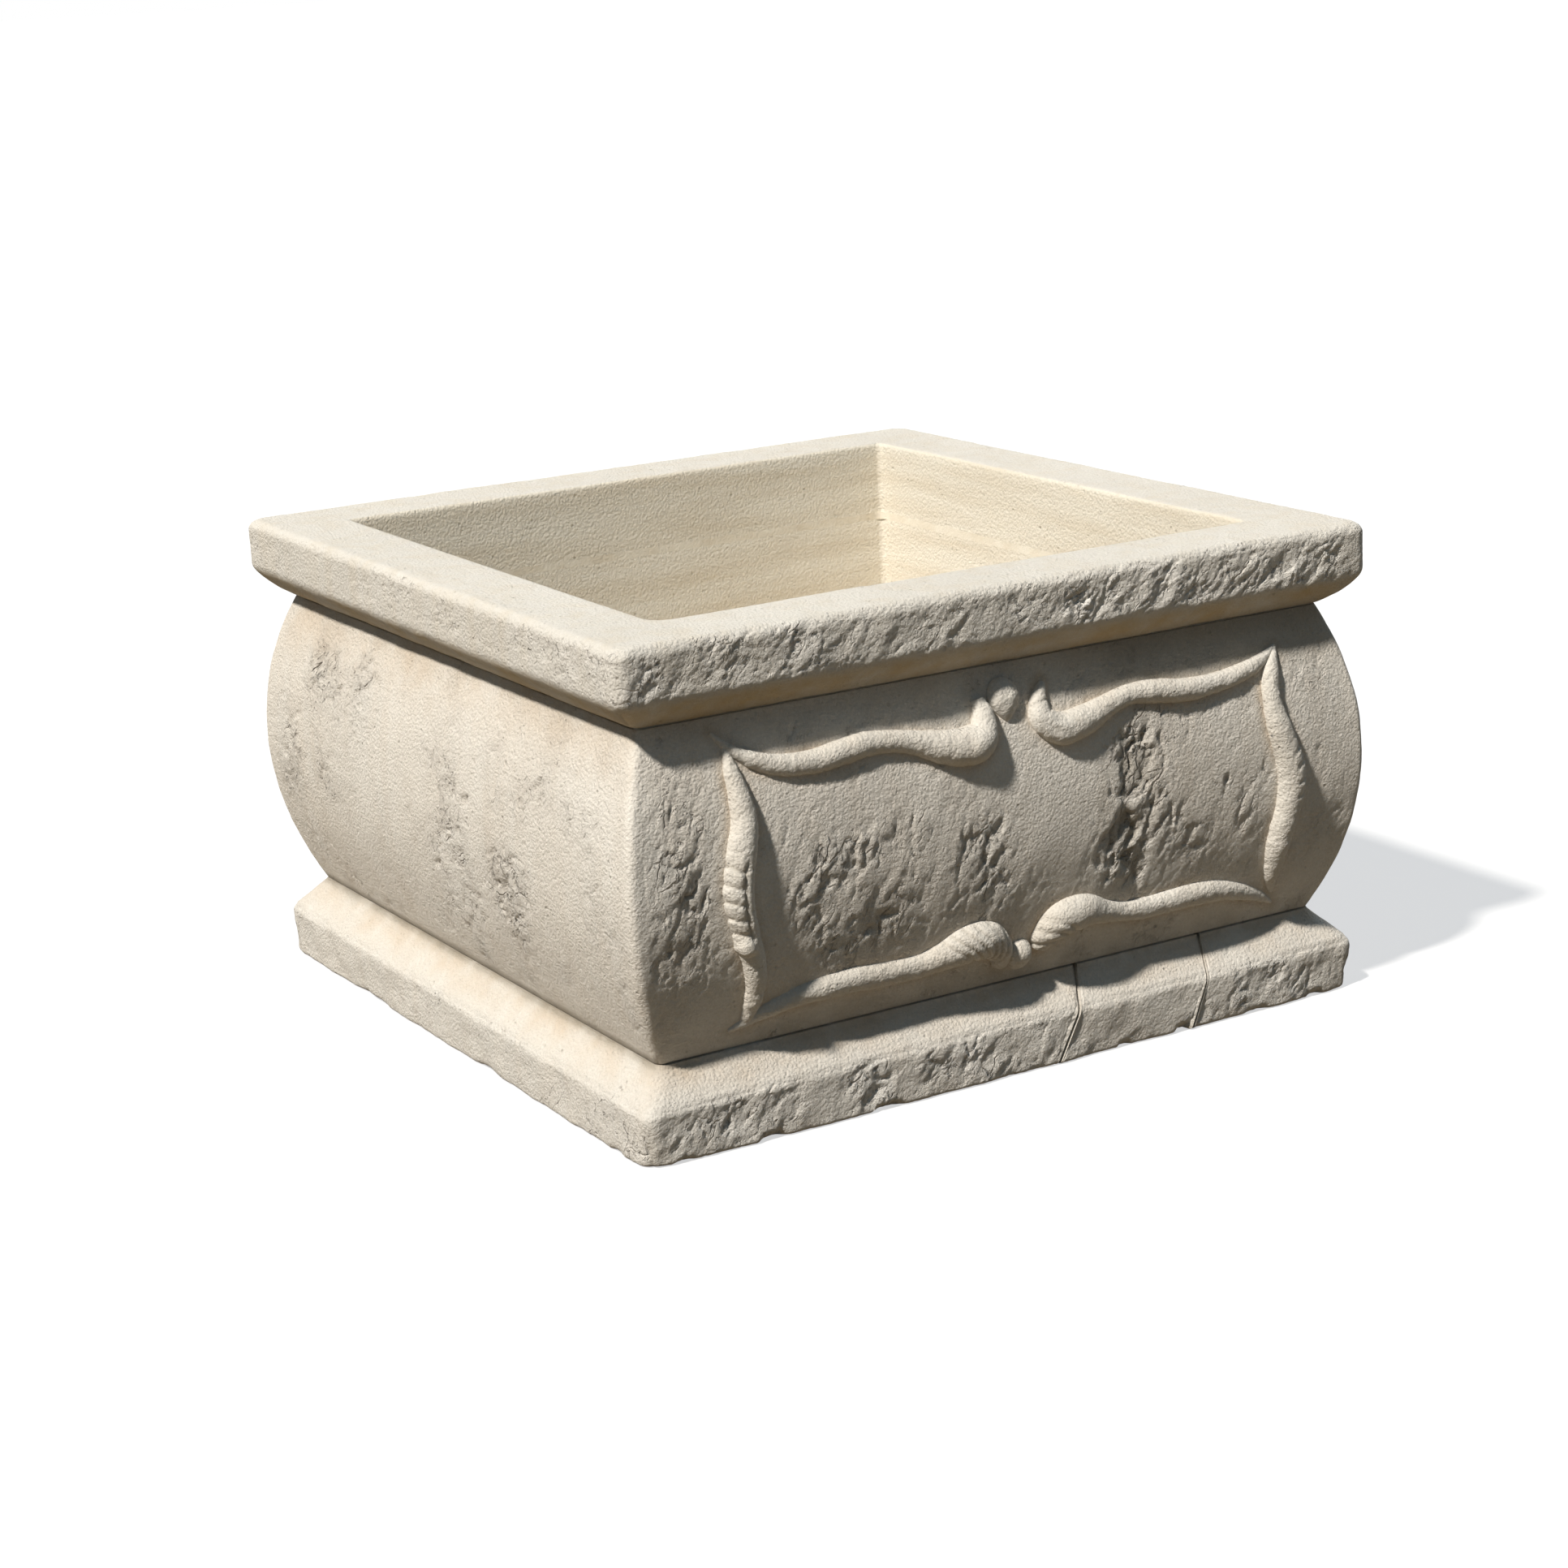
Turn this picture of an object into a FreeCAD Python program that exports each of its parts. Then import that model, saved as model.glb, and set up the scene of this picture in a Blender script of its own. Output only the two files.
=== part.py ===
import FreeCAD, Part
import math
import os

# Square stone planter: three flagstones, a hollow bowed belly and an overhanging rim, bedded in mortar and
# dowelled together, with a frame of applied scrolls on the front and back. Millimetres, +Z up, origin on the
# ground under the middle of the planter, front towards -Y.

# Overall width, across the rim
planter_width = 610.0

# Rim coping
rim_height = 59.0
rim_face_height = 37.5
rim_top_width = 63.0
rim_overhang = 24.0
rim_underside_bulge = 2.5
rim_edge_radius = 8.0
rim_corner_radius = 9.0
opening_corner_radius = 8.0
opening_edge_radius = 4.0

# Belly: its middle bows out from the neck, its foot is set in from the neck, and its floor is cast in
belly_height = 220.0
belly_bow = 22.0
foot_taper = 5.0
belly_corner_radius = 8.0
floor_thickness = 45.0

# Plinth of three flagstones, a step wider than the belly's foot, with two joints that lean to the right
plinth_step = 24.0
plinth_height = 61.0
plinth_face_height = 36.0
plinth_arris_radius = 9.0
plinth_corner_radius = 12.0
joint_width = 3.0
joint_recess = 8.0
first_joint_foot = 30.0
first_joint_head = 62.0
second_joint_foot = 147.0
second_joint_head = 171.0

# Mortar beds, raked back from the faces
belly_bed_thickness = 4.0
coping_bed_thickness = 6.0
bed_recess = 5.0

# Dowels between the courses
dowel_clearance = 0.1
plinth_dowel_radius = 6.0
plinth_dowel_in_slab = 35.0
plinth_dowel_in_floor = 30.0
plinth_dowel_row = 150.0
coping_dowel_radius = 5.0
coping_dowel_in_belly = 40.0
coping_dowel_in_rim = 28.0

# Drain pipe with a collar let into the floor
drain_radius = 11.0
drain_wall = 2.0
drain_collar_radius = 20.0
drain_collar_thickness = 4.0
drain_foot_gap = 3.0
drain_clearance = 0.1

# Pins behind the ornament
pin_radius = 2.0
pin_in_ornament = 4.0
pin_cover = 18.0
scroll_pin_count = 2

# Frame of scrolls, set in from the neck's corners. The heads of each pair stand apart in the middle.
frame_margin = 54.0
top_head_gap = 23.0
bottom_head_gap = 19.0
side_scroll_above_foot = 23.0
side_scroll_below_neck = 21.0

# Middle line of the right-hand top and bottom scrolls, from tail to head: share of the way from the head out
# to the frame's side, distance from the belly's neck or foot, half width. The heads curl away from the frame.
top_scroll = [
    (1.0, 14.0, 2.0),
    (0.892, 23.0, 6.0),
    (0.76, 29.0, 7.5),
    (0.613, 29.5, 8.5),
    (0.466, 26.0, 8.5),
    (0.353, 27.0, 7.5),
    (0.26, 31.0, 8.5),
    (0.162, 36.5, 10.5),
    (0.064, 38.0, 11.5),
    (0.0, 30.0, 10.0),
    (0.003, 20.0, 7.0),
    (0.02, 13.0, 3.5),
]
bottom_scroll = [
    (1.0, 12.0, 2.0),
    (0.928, 21.0, 4.5),
    (0.822, 30.0, 6.5),
    (0.702, 34.5, 8.5),
    (0.558, 35.0, 9.0),
    (0.413, 33.0, 8.5),
    (0.303, 34.0, 7.5),
    (0.216, 38.0, 10.0),
    (0.139, 42.0, 12.5),
    (0.058, 40.5, 12.5),
    (0.007, 30.0, 9.0),
    (0.0, 20.0, 5.0),
]
# Middle line of the right-hand side scroll, from top to bottom: distance in from the frame's side, share of
# the way up from its lower to its upper end, half width.
side_scroll = [
    (1.0, 1.0, 2.0),
    (8.0, 0.92, 6.0),
    (12.0, 0.82, 7.5),
    (10.0, 0.68, 9.5),
    (4.0, 0.54, 11.5),
    (1.0, 0.47, 11.5),
    (4.0, 0.36, 10.5),
    (8.5, 0.25, 9.5),
    (10.0, 0.15, 8.0),
    (8.0, 0.07, 6.0),
    (2.0, 0.0, 2.0),
]
bead_radius = 11.0
bead_point = 19.0
bead_below_neck = 16.0
drop_radius = 9.0
drop_point = 15.0
drop_above_foot = 19.0
teardrop_sink = 2.0

# Heights of the courses and half widths of the faces
belly_foot = plinth_height + belly_bed_thickness
belly_neck = belly_foot + belly_height
rim_underside = belly_neck + coping_bed_thickness
rim_top = rim_underside + rim_height
cavity_floor = belly_foot + floor_thickness
rim_half = planter_width / 2
opening_half = rim_half - rim_top_width
neck_half = rim_half - rim_overhang
middle_half = neck_half + belly_bow
foot_half = neck_half - foot_taper
plinth_half = foot_half + plinth_step
frame_half = neck_half - frame_margin
drain_outer_radius = drain_radius + drain_wall
touching = 0.01

V = FreeCAD.Vector
origin = V(0, 0, 0)
upright = V(0, 0, 1)
into_wall = V(0, 1, 0)


def flat(point):
    return V(point[0], 0, point[1])


def line(start, end):
    return Part.LineSegment(flat(start), flat(end)).toShape()


def arc(start, middle, end):
    return Part.Arc(flat(start), flat(middle), flat(end)).toShape()


def rounded_corner(start, corner, end, radius):
    """Straight, round and straight edges from start past a rounded corner to end."""
    into = flat(start).sub(flat(corner)).normalize()
    away = flat(end).sub(flat(corner)).normalize()
    half_angle = into.getAngle(away) / 2
    tangent = radius / math.tan(half_angle)
    bisector = into.add(away).normalize()
    to_arc = radius / math.sin(half_angle) - radius
    first = flat(corner) + into * tangent
    last = flat(corner) + away * tangent
    crown = flat(corner) + bisector * to_arc
    return [
        Part.LineSegment(flat(start), first).toShape(),
        Part.Arc(first, crown, last).toShape(),
        Part.LineSegment(last, flat(end)).toShape(),
    ]


def crossed_block(side, bottom, top):
    """Square block whose four faces all have the upright outline side, from bottom to top."""
    mirrored = [edge.mirror(origin, V(1, 0, 0)) for edge in side]
    closing = [line((-bottom[0], bottom[1]), bottom), line((-top[0], top[1]), top)]
    outline = Part.Wire(Part.sortEdges(side + mirrored + closing)[0])
    face = Part.Face(outline)
    depth = 2 * face.BoundBox.XLength
    face.translate(V(0, -depth / 2, 0))
    along_y = face.extrude(V(0, depth, 0))
    along_x = along_y.copy()
    along_x.rotate(origin, upright, 90)
    return along_y.common(along_x)


def square_slab(half, bottom, top):
    """Upright square prism with sharp corners."""
    return Part.makeBox(2 * half, 2 * half, top - bottom, V(-half, -half, bottom))


def rounded_square(half, radius, bottom, top):
    """Upright square prism with rounded corners."""
    box = square_slab(half, bottom, top)
    corners = [edge for edge in box.Edges if edge.BoundBox.ZLength > edge.BoundBox.DiagonalLength / 2]
    return box.makeFillet(radius, corners)


def upright_cylinder(radius, x, y, bottom, top):
    return Part.makeCylinder(radius, top - bottom, V(x, y, bottom), upright)


# The belly's upright outline is one arc through its neck, middle and foot.
belly_side = (
    (foot_half, belly_foot),
    (middle_half, (belly_foot + belly_neck) / 2),
    (neck_half, belly_neck),
)
belly_arc = arc(*belly_side).Curve
bow_sign = math.copysign(1.0, belly_side[1][0] - belly_arc.Center.x)


def wall_half(z):
    """Half width of the belly at a height."""
    rise = z - belly_arc.Center.z
    return belly_arc.Center.x + bow_sign * math.sqrt(belly_arc.Radius ** 2 - rise ** 2)


def wall_lean(z):
    """Angle in degrees by which the bowed front face leans back at a height."""
    return bow_sign * math.degrees(math.asin((z - belly_arc.Center.z) / belly_arc.Radius))


def belly_block():
    """The belly as a full block with rounded corners."""
    block = crossed_block([arc(*belly_side)], belly_side[0], belly_side[2])
    corners = [edge for edge in block.Edges if edge.BoundBox.ZLength > belly_height / 2]
    return block.makeFillet(belly_corner_radius, corners)


def front_wall():
    """Straight length of the bowed front, from side to side, that the ornament is fitted to."""
    foot = (0, belly_foot)
    neck = (0, belly_neck)
    edges = [line(foot, belly_side[0]), arc(*belly_side), line(belly_side[2], neck), line(neck, foot)]
    face = Part.Face(Part.Wire(edges))
    face.rotate(origin, upright, -90)
    face.translate(V(-rim_half, 0, 0))
    return face.extrude(V(2 * rim_half, 0, 0))


def cavity():
    """Planting space, the same width through the belly and the rim."""
    return rounded_square(opening_half, opening_corner_radius, cavity_floor, rim_top)


# Dowels

def joint_line(foot, head, z):
    """Place of a leaning plinth joint at a height."""
    return foot + (head - foot) * z / plinth_height


def slab_middles():
    """Middle of each slab at half height, between its joints and the edges of the belly's foot."""
    first = joint_line(first_joint_foot, first_joint_head, plinth_height / 2)
    second = joint_line(second_joint_foot, second_joint_head, plinth_height / 2)
    edges = [-foot_half, first, second, foot_half]
    return [(low + high) / 2 for low, high in zip(edges[:-1], edges[1:])]


def plinth_dowel_set(radius):
    """Two upright dowels in each slab, through the bed into the belly's floor."""
    bottom = plinth_height - plinth_dowel_in_slab
    top = belly_foot + plinth_dowel_in_floor
    places = [(x, y) for x in slab_middles() for y in (-plinth_dowel_row, plinth_dowel_row)]
    return [upright_cylinder(radius, x, y, bottom, top) for x, y in places]


def coping_dowel_set(radius):
    """One upright dowel in each corner of the wall, through the bed into the rim."""
    bottom = belly_neck - coping_dowel_in_belly
    top = rim_underside + coping_dowel_in_rim
    place = (opening_half + neck_half - bed_recess) / 2
    return [
        upright_cylinder(radius, x, y, bottom, top)
        for x in (-place, place)
        for y in (-place, place)
    ]


plinth_dowel_holes = plinth_dowel_set(plinth_dowel_radius + dowel_clearance)
coping_dowel_holes = coping_dowel_set(coping_dowel_radius + dowel_clearance)


# Drain

def drain_pipe():
    """Pipe from just above the ground to the cavity's floor, with a collar at its top."""
    pipe = upright_cylinder(drain_outer_radius, 0, 0, drain_foot_gap, cavity_floor)
    collar = upright_cylinder(drain_collar_radius, 0, 0, cavity_floor - drain_collar_thickness, cavity_floor)
    bore = upright_cylinder(drain_radius, 0, 0, drain_foot_gap, cavity_floor)
    return pipe.fuse(collar).cut(bore).removeSplitter()


def drain_hole():
    """Hole for the pipe through floor, bed and slab, with the collar's seat."""
    hole = upright_cylinder(drain_outer_radius + drain_clearance, 0, 0, 0, cavity_floor)
    seat_bottom = cavity_floor - drain_collar_thickness
    seat = upright_cylinder(drain_collar_radius + drain_clearance, 0, 0, seat_bottom, cavity_floor)
    return hole.fuse(seat)


# Ornament, made on the front face

def on_wall(x, z):
    return V(x, -wall_half(z), z)


def scroll_points(path, side):
    """Points on the front face and half widths of one scroll, on the right (side 1) or left (side -1)."""
    return [(on_wall(side * x, z), half_width) for x, z, half_width in path]


def scroll_body(points):
    """Round bar through circles square to the middle line, tapering with the half widths."""
    places = [point for point, half_width in points]
    before = [places[0]] + places[:-1]
    after = places[1:] + [places[-1]]
    rings = []
    for (place, half_width), previous, following in zip(points, before, after):
        ring = Part.Circle(place, following.sub(previous), half_width)
        ring.XAxis = into_wall
        rings.append(Part.Wire(ring.toShape()))
    return Part.makeLoft(rings, True, False)


def teardrop(radius, point, z):
    """Ball with a point below it that starts tangent to the ball, its middle sunk into the front face."""
    touch = math.acos(radius / point)
    tangent = (radius * math.sin(touch), -radius * math.cos(touch))
    outline = Part.Wire([
        arc((0, radius), (radius, 0), tangent),
        line(tangent, (0, -point)),
        line((0, -point), (0, radius)),
    ])
    outline.rotate(origin, upright, 90)
    body = Part.Face(outline).revolve(origin, upright, 360)
    body.translate(into_wall * teardrop_sink)
    body.rotate(origin, V(1, 0, 0), -wall_lean(z))
    body.translate(on_wall(0, z))
    return body


def pin(place, radius):
    """Pin from inside the wall, short of the cavity by its cover, into the ornament."""
    inner = V(place.x, -(opening_half + pin_cover), place.z)
    outer = V(place.x, place.y - pin_in_ornament, place.z)
    return Part.makeCylinder(radius, inner.y - outer.y, inner, into_wall.negative())


def between(low, high, share):
    return low + share * (high - low)


side_low = belly_foot + side_scroll_above_foot
side_high = belly_neck - side_scroll_below_neck
scroll_paths = {
    "top": [
        (between(top_head_gap, frame_half, share), belly_neck - drop, half)
        for share, drop, half in top_scroll
    ],
    "side": [
        (frame_half - inset, between(side_low, side_high, share), half)
        for inset, share, half in side_scroll
    ],
    "bottom": [
        (between(bottom_head_gap, frame_half, share), belly_foot + rise, half)
        for share, rise, half in bottom_scroll
    ],
}


def front_ornament():
    """Each ornament of the front face by name: its uncut body and the places of its pins."""
    pieces = {}
    for name, path in scroll_paths.items():
        for hand, side in (("left", -1), ("right", 1)):
            points = scroll_points(path, side)
            step = len(points) // (scroll_pin_count + 1)
            pins = [place for place, half_width in points[step:-1:step]][:scroll_pin_count]
            pieces[name + "_" + hand + "_scroll"] = (scroll_body(points), pins)
    bead_z = belly_neck - bead_below_neck
    drop_z = belly_foot + drop_above_foot
    pieces["bead"] = (teardrop(bead_radius, bead_point, bead_z), [on_wall(0, bead_z)])
    pieces["drop"] = (teardrop(drop_radius, drop_point, drop_z), [on_wall(0, drop_z)])
    return pieces


def turned(shape):
    """The same shape on the back face."""
    copy = shape.copy()
    copy.rotate(origin, upright, 180)
    return copy


ornament = front_ornament()
pin_places = [place for body, places in ornament.values() for place in places]
front_pins = [pin(place, pin_radius) for place in pin_places]
front_pin_holes = [pin(place, pin_radius + dowel_clearance) for place in pin_places]
all_pins = front_pins + [turned(shape) for shape in front_pins]
all_pin_holes = front_pin_holes + [turned(shape) for shape in front_pin_holes]


# Courses

def plinth_block(inset):
    """The whole plinth, with its faces set back by inset."""
    face_half = plinth_half - inset
    top_half = foot_half - inset
    side = rounded_corner(
        (face_half, 0),
        (face_half, plinth_face_height),
        (top_half, plinth_height),
        plinth_arris_radius,
    )
    return crossed_block(side, (face_half, 0), (top_half, plinth_height))


def leaning_prism(left, right):
    """Prism through the plinth, front to back, between two leaning sides given as foot and head places."""
    corners = [(left[0], 0), (right[0], 0), (right[1], plinth_height), (left[1], plinth_height)]
    edges = [line(start, end) for start, end in zip(corners, corners[1:] + corners[:1])]
    face = Part.Face(Part.Wire(edges))
    face.translate(V(0, -planter_width, 0))
    return face.extrude(V(0, 2 * planter_width, 0))


def joint_sides():
    """Foot and head places of the left and right side of each joint."""
    joints = [(first_joint_foot, first_joint_head), (second_joint_foot, second_joint_head)]
    half = joint_width / 2
    return [((foot - half, head - half), (foot + half, head + half)) for foot, head in joints]


def plinth_slabs():
    """The left, middle and right flagstone."""
    block = plinth_block(0).common(rounded_square(plinth_half, plinth_corner_radius, 0, plinth_height))
    block = block.cut(plinth_dowel_holes + [drain_hole()])
    first, second = joint_sides()
    outside = (-planter_width, -planter_width)
    far_side = (planter_width, planter_width)
    spans = [(outside, first[0]), (first[1], second[0]), (second[1], far_side)]
    return [block.common(leaning_prism(left, right)) for left, right in spans]


def plinth_joint_mortar():
    """Mortar in the two joints, raked back from the faces."""
    core = plinth_block(joint_recess)
    return [core.common(leaning_prism(left, right)) for left, right in joint_sides()]


def belly_bed():
    """Mortar between plinth and belly."""
    bed = square_slab(foot_half - bed_recess, plinth_height, belly_foot)
    return bed.cut(plinth_dowel_holes + [drain_hole()])


def belly():
    """Hollow belly with its floor, dowel holes, pin holes and drain hole."""
    holes = plinth_dowel_holes + coping_dowel_holes + all_pin_holes
    return belly_block().cut([cavity(), drain_hole()] + holes)


def coping_bed():
    """Ring of mortar between belly and rim, flush with the cavity."""
    bed = square_slab(neck_half - bed_recess, belly_neck, rim_underside)
    return bed.cut([cavity()] + coping_dowel_holes)


def on_opening_lip(edge):
    """Whether an edge lies on the opening's upper edge."""
    box = edge.BoundBox
    reach = max(abs(box.XMin), abs(box.XMax), abs(box.YMin), abs(box.YMax))
    return box.ZMin > rim_top - touching and reach < opening_half + touching


def rim_coping():
    """Overhanging rim: upright face, round top edge and a swelling underside down to the neck."""
    face_foot = rim_top - rim_face_height
    run = rim_half - neck_half
    rise = face_foot - rim_underside
    chord = math.hypot(run, rise)
    swell = (
        neck_half + run / 2 + rim_underside_bulge * rise / chord,
        rim_underside + rise / 2 - rim_underside_bulge * run / chord,
    )
    top_inner = rim_half - 2 * rim_edge_radius
    side = [arc((neck_half, rim_underside), swell, (rim_half, face_foot))]
    side += rounded_corner((rim_half, face_foot), (rim_half, rim_top), (top_inner, rim_top), rim_edge_radius)
    block = crossed_block(side, (neck_half, rim_underside), (top_inner, rim_top))
    block = block.common(rounded_square(rim_half, rim_corner_radius, rim_underside, rim_top))
    ring = block.cut([cavity()] + coping_dowel_holes)
    lip = [edge for edge in ring.Edges if on_opening_lip(edge)]
    return ring.makeFillet(opening_edge_radius, lip)


def export(name, shapes):
    shape = shapes[0] if len(shapes) == 1 else Part.makeCompound(shapes)
    shape.exportStep("parts/" + name + ".step")


os.makedirs("parts", exist_ok=True)
for name, slab in zip(("plinth_slab_left", "plinth_slab_middle", "plinth_slab_right"), plinth_slabs()):
    export(name, [slab])
export("plinth_joint_mortar", plinth_joint_mortar())
export("plinth_dowels", plinth_dowel_set(plinth_dowel_radius))
export("belly_bed_mortar", [belly_bed()])
export("belly", [belly()])
export("drain_pipe", [drain_pipe()])
export("coping_bed_mortar", [coping_bed()])
export("coping_dowels", coping_dowel_set(coping_dowel_radius))
export("rim_coping", [rim_coping()])
export("ornament_pins", all_pins)
wall = front_wall()
for name, (body, places) in ornament.items():
    seated = body.cut([wall] + front_pin_holes)
    export("front_" + name, [seated])
    export("back_" + name, [turned(seated)])
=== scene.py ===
import math

import bpy
import numpy as np
from mathutils import Matrix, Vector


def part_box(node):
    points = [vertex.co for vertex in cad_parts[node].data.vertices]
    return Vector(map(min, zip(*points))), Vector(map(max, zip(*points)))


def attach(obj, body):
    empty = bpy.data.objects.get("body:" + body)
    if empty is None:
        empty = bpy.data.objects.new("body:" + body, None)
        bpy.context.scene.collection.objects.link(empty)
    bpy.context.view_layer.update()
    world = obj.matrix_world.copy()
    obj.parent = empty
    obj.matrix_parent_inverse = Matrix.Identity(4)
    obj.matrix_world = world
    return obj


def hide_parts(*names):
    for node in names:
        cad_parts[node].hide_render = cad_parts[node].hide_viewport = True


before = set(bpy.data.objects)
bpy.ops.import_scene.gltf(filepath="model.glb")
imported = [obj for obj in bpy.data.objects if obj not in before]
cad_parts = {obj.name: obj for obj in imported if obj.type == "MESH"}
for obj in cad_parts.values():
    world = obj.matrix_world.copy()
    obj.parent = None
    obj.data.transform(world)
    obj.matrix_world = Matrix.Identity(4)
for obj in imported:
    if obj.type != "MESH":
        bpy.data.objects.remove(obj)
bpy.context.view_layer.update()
mm = 0.001                      # surfaces are worked out in millimetres, meshes are in metres
sharpAngle = 55.0               # degrees, past which an edge is shaded sharp
print("planter: frame loaded with", len(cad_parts), "CAD nodes")


# Noise on whole arrays of points

def ease(low, high, value):
    # smooth step from 0 at low to 1 at high
    share = np.clip((value - low) / (high - low), 0, 1)
    return share * share * (3 - 2 * share)


def spread(*parts):
    # coordinates of any shapes that fit together, as one array of points
    return np.stack(np.broadcast_arrays(*parts), -1)


def hashedCode(cell):
    # a well mixed 32 bit number for every lattice corner
    mixed = cell * (73856093, 19349663, 83492791)
    code = (mixed[..., 0] ^ mixed[..., 1] ^ mixed[..., 2]) & 0xffffffff
    code = (code ^ code >> 15) * 0x2c1b3c6d & 0xffffffff
    code = (code ^ code >> 12) * 0x297a2d39 & 0xffffffff
    return code ^ code >> 15


def gradientNoise(points):
    # every lattice corner has a hashed slope, and the eight slopes round a point are blended smoothly
    cell = np.floor(points).astype(np.int64)
    inside = (points - cell).astype(np.float32)
    fade = inside ** 3 * (inside * (inside * 6 - 15) + 10)
    total = np.zeros(points.shape[:-1], np.float32)
    for corner in np.ndindex(2, 2, 2):
        code = hashedCode(cell + corner)
        slope = np.stack([(code >> shift & 1023) / 511.5 - 1 for shift in (0, 10, 20)], -1)
        rise = (slope * (inside - np.float32(corner))).sum(-1)
        total += rise * np.where(corner, fade, 1 - fade).prod(-1)
    return 1.6 * total


def layeredNoise(points, octaves):
    # octaves of noise, each twice as fine and half as strong
    return sum(gradientNoise(points * 2.0 ** k + 17.3 * k) / 2 ** k for k in range(octaves))


def creasedNoise(points, octaves):
    # sharp crests where the noise crosses zero, with finer crests only on the coarse ones
    total, weight = 0.0, 1.0
    for k in range(octaves):
        crest = (1 - 1.6 * np.abs(gradientNoise(points * 2.0 ** k + 31.7 * k))).clip(0, 1) ** 2
        total = total + crest * weight / 2 ** k
        weight = weight * crest
    return total / (2 - 0.5 ** (octaves - 1))


tooling = {
    "patchLength": 45.0,        # millimetres, of the noise behind each part of the relief
    "raggedLength": 15.0,
    "waveLength": 60.0,
    "grainLength": 2.3,
    "mostRough": 1.4,
    "fineTurn": 12.0,           # second set of cracks: degrees from the first, share of its size and depth
    "fineSize": 0.5,
    "fineShare": 0.4,
    "crackBend": 0.45,          # how far a crack bends, and the length of its bends, in crack sizes
    "bendLength": 1.3,
    "crackEdges": (0.4, 0.85),
    "plateStretch": 2.2,
    "plateRag": 0.25,           # how ragged a plate's edge is, and the length of the rags, in plate sizes
    "ragLength": 0.8,
    "plateLevel": 0.6,          # share of a step that is level
    "spallEdge": 0.3,           # how ragged the edge of a spall is
    "faceSeed": 13.7,           # step of the noise from one face to the next
}


def turnedAxes(s, h, lean):
    # distance along and across a direction that leans by so many degrees from the level
    angle = math.radians(lean)
    return s * math.cos(angle) + h * math.sin(angle), h * math.cos(angle) - s * math.sin(angle)


def tornCracks(s, h, lean, size, stretch, seed):
    # creases stretched along the lean, with their course bent by coarser noise
    bendS = layeredNoise(spread(s / size, h / size, seed + 0.5) / tooling["bendLength"], 3)
    bendH = layeredNoise(spread(s / size, h / size, seed + 9.5) / tooling["bendLength"], 3)
    bend = tooling["crackBend"] * size
    along, across = turnedAxes(s + bend * bendS, h + bend * bendH, lean)
    creases = creasedNoise(spread(along / (stretch * size), across / size, seed), 3)
    return ease(*tooling["crackEdges"], creases)


def rivenPlates(s, h, lean, size, seed, steps):
    # noise stretched along the lean and cut into level steps with steep risers
    along, across = turnedAxes(s, h, lean)
    ragged = layeredNoise(spread(s / size, h / size, seed + 5.0) / tooling["ragLength"], 2)
    along = along / (tooling["plateStretch"] * size) + tooling["plateRag"] * ragged
    plate = steps * layeredNoise(spread(along, across / size, seed), 3)
    return (np.floor(plate) + ease(tooling["plateLevel"], 1.0, plate % 1)) / steps


def zoneStrength(s, h, zones):
    # soft oval zones (place, half sizes, lean, strength); the strongest at a point counts
    total = np.zeros(np.broadcast(s, h).shape)
    for placeS, placeH, halfS, halfH, lean, strength in zones:
        along, across = turnedAxes(s - placeS, h - placeH, lean)
        total = np.maximum(total, strength * np.exp(-(along / halfS) ** 2 - (across / halfH) ** 2))
    return total


def stoneRelief(s, h, seed, stone, zones, spalls=(), calm=()):
    # Depth and roughness of a worked stone face: coarse and fine cracks and riven plates where it is rough,
    # ragged spalls, long waves and grain all over.
    def noise(length, shift, octaves):
        return layeredNoise(spread(s / length, h / length, seed + shift), octaves)

    patchy = noise(tooling["patchLength"], 3.1, 3)
    rough = stone["rough"] + zoneStrength(s, h, zones) * (0.75 + 0.8 * patchy)
    rough = np.clip(rough + stone["patches"] * ease(-0.1, 0.6, patchy), 0, tooling["mostRough"])
    rough = rough * (1 - zoneStrength(s, h, calm))
    ragged = noise(tooling["raggedLength"], 21.0, 3)
    spall = ease(0.35, 0.75, zoneStrength(s, h, spalls) + tooling["spallEdge"] * ragged)
    size, stretch, lean = stone["crackSize"], stone["crackStretch"], stone["lean"]
    cracks = tornCracks(s, h, lean, size, stretch, seed + 2.2)
    fine = tornCracks(s, h, lean + tooling["fineTurn"], tooling["fineSize"] * size, stretch, seed + 12.2)
    cracks = cracks + tooling["fineShare"] * fine
    plates = rivenPlates(s, h, lean, stone["plateSize"], seed + 7.7, stone["plateSteps"])
    grain = noise(tooling["grainLength"], 4.0, 2)
    depth = rough * (stone["crackDepth"] * cracks - stone["plateDepth"] * plates)
    depth = depth + stone["spallDepth"] * spall
    depth = depth - stone["waveDepth"] * noise(tooling["waveLength"], 1.0, 2)
    return depth - stone["grainDepth"] * (1 + 0.8 * rough) * grain, np.clip(rough + spall, 0, 1)


# Grids of points and their meshes

headings = ((1, 0), (0, 1), (-1, 0), (0, -1))      # walking directions along the front, right, back and left


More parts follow.
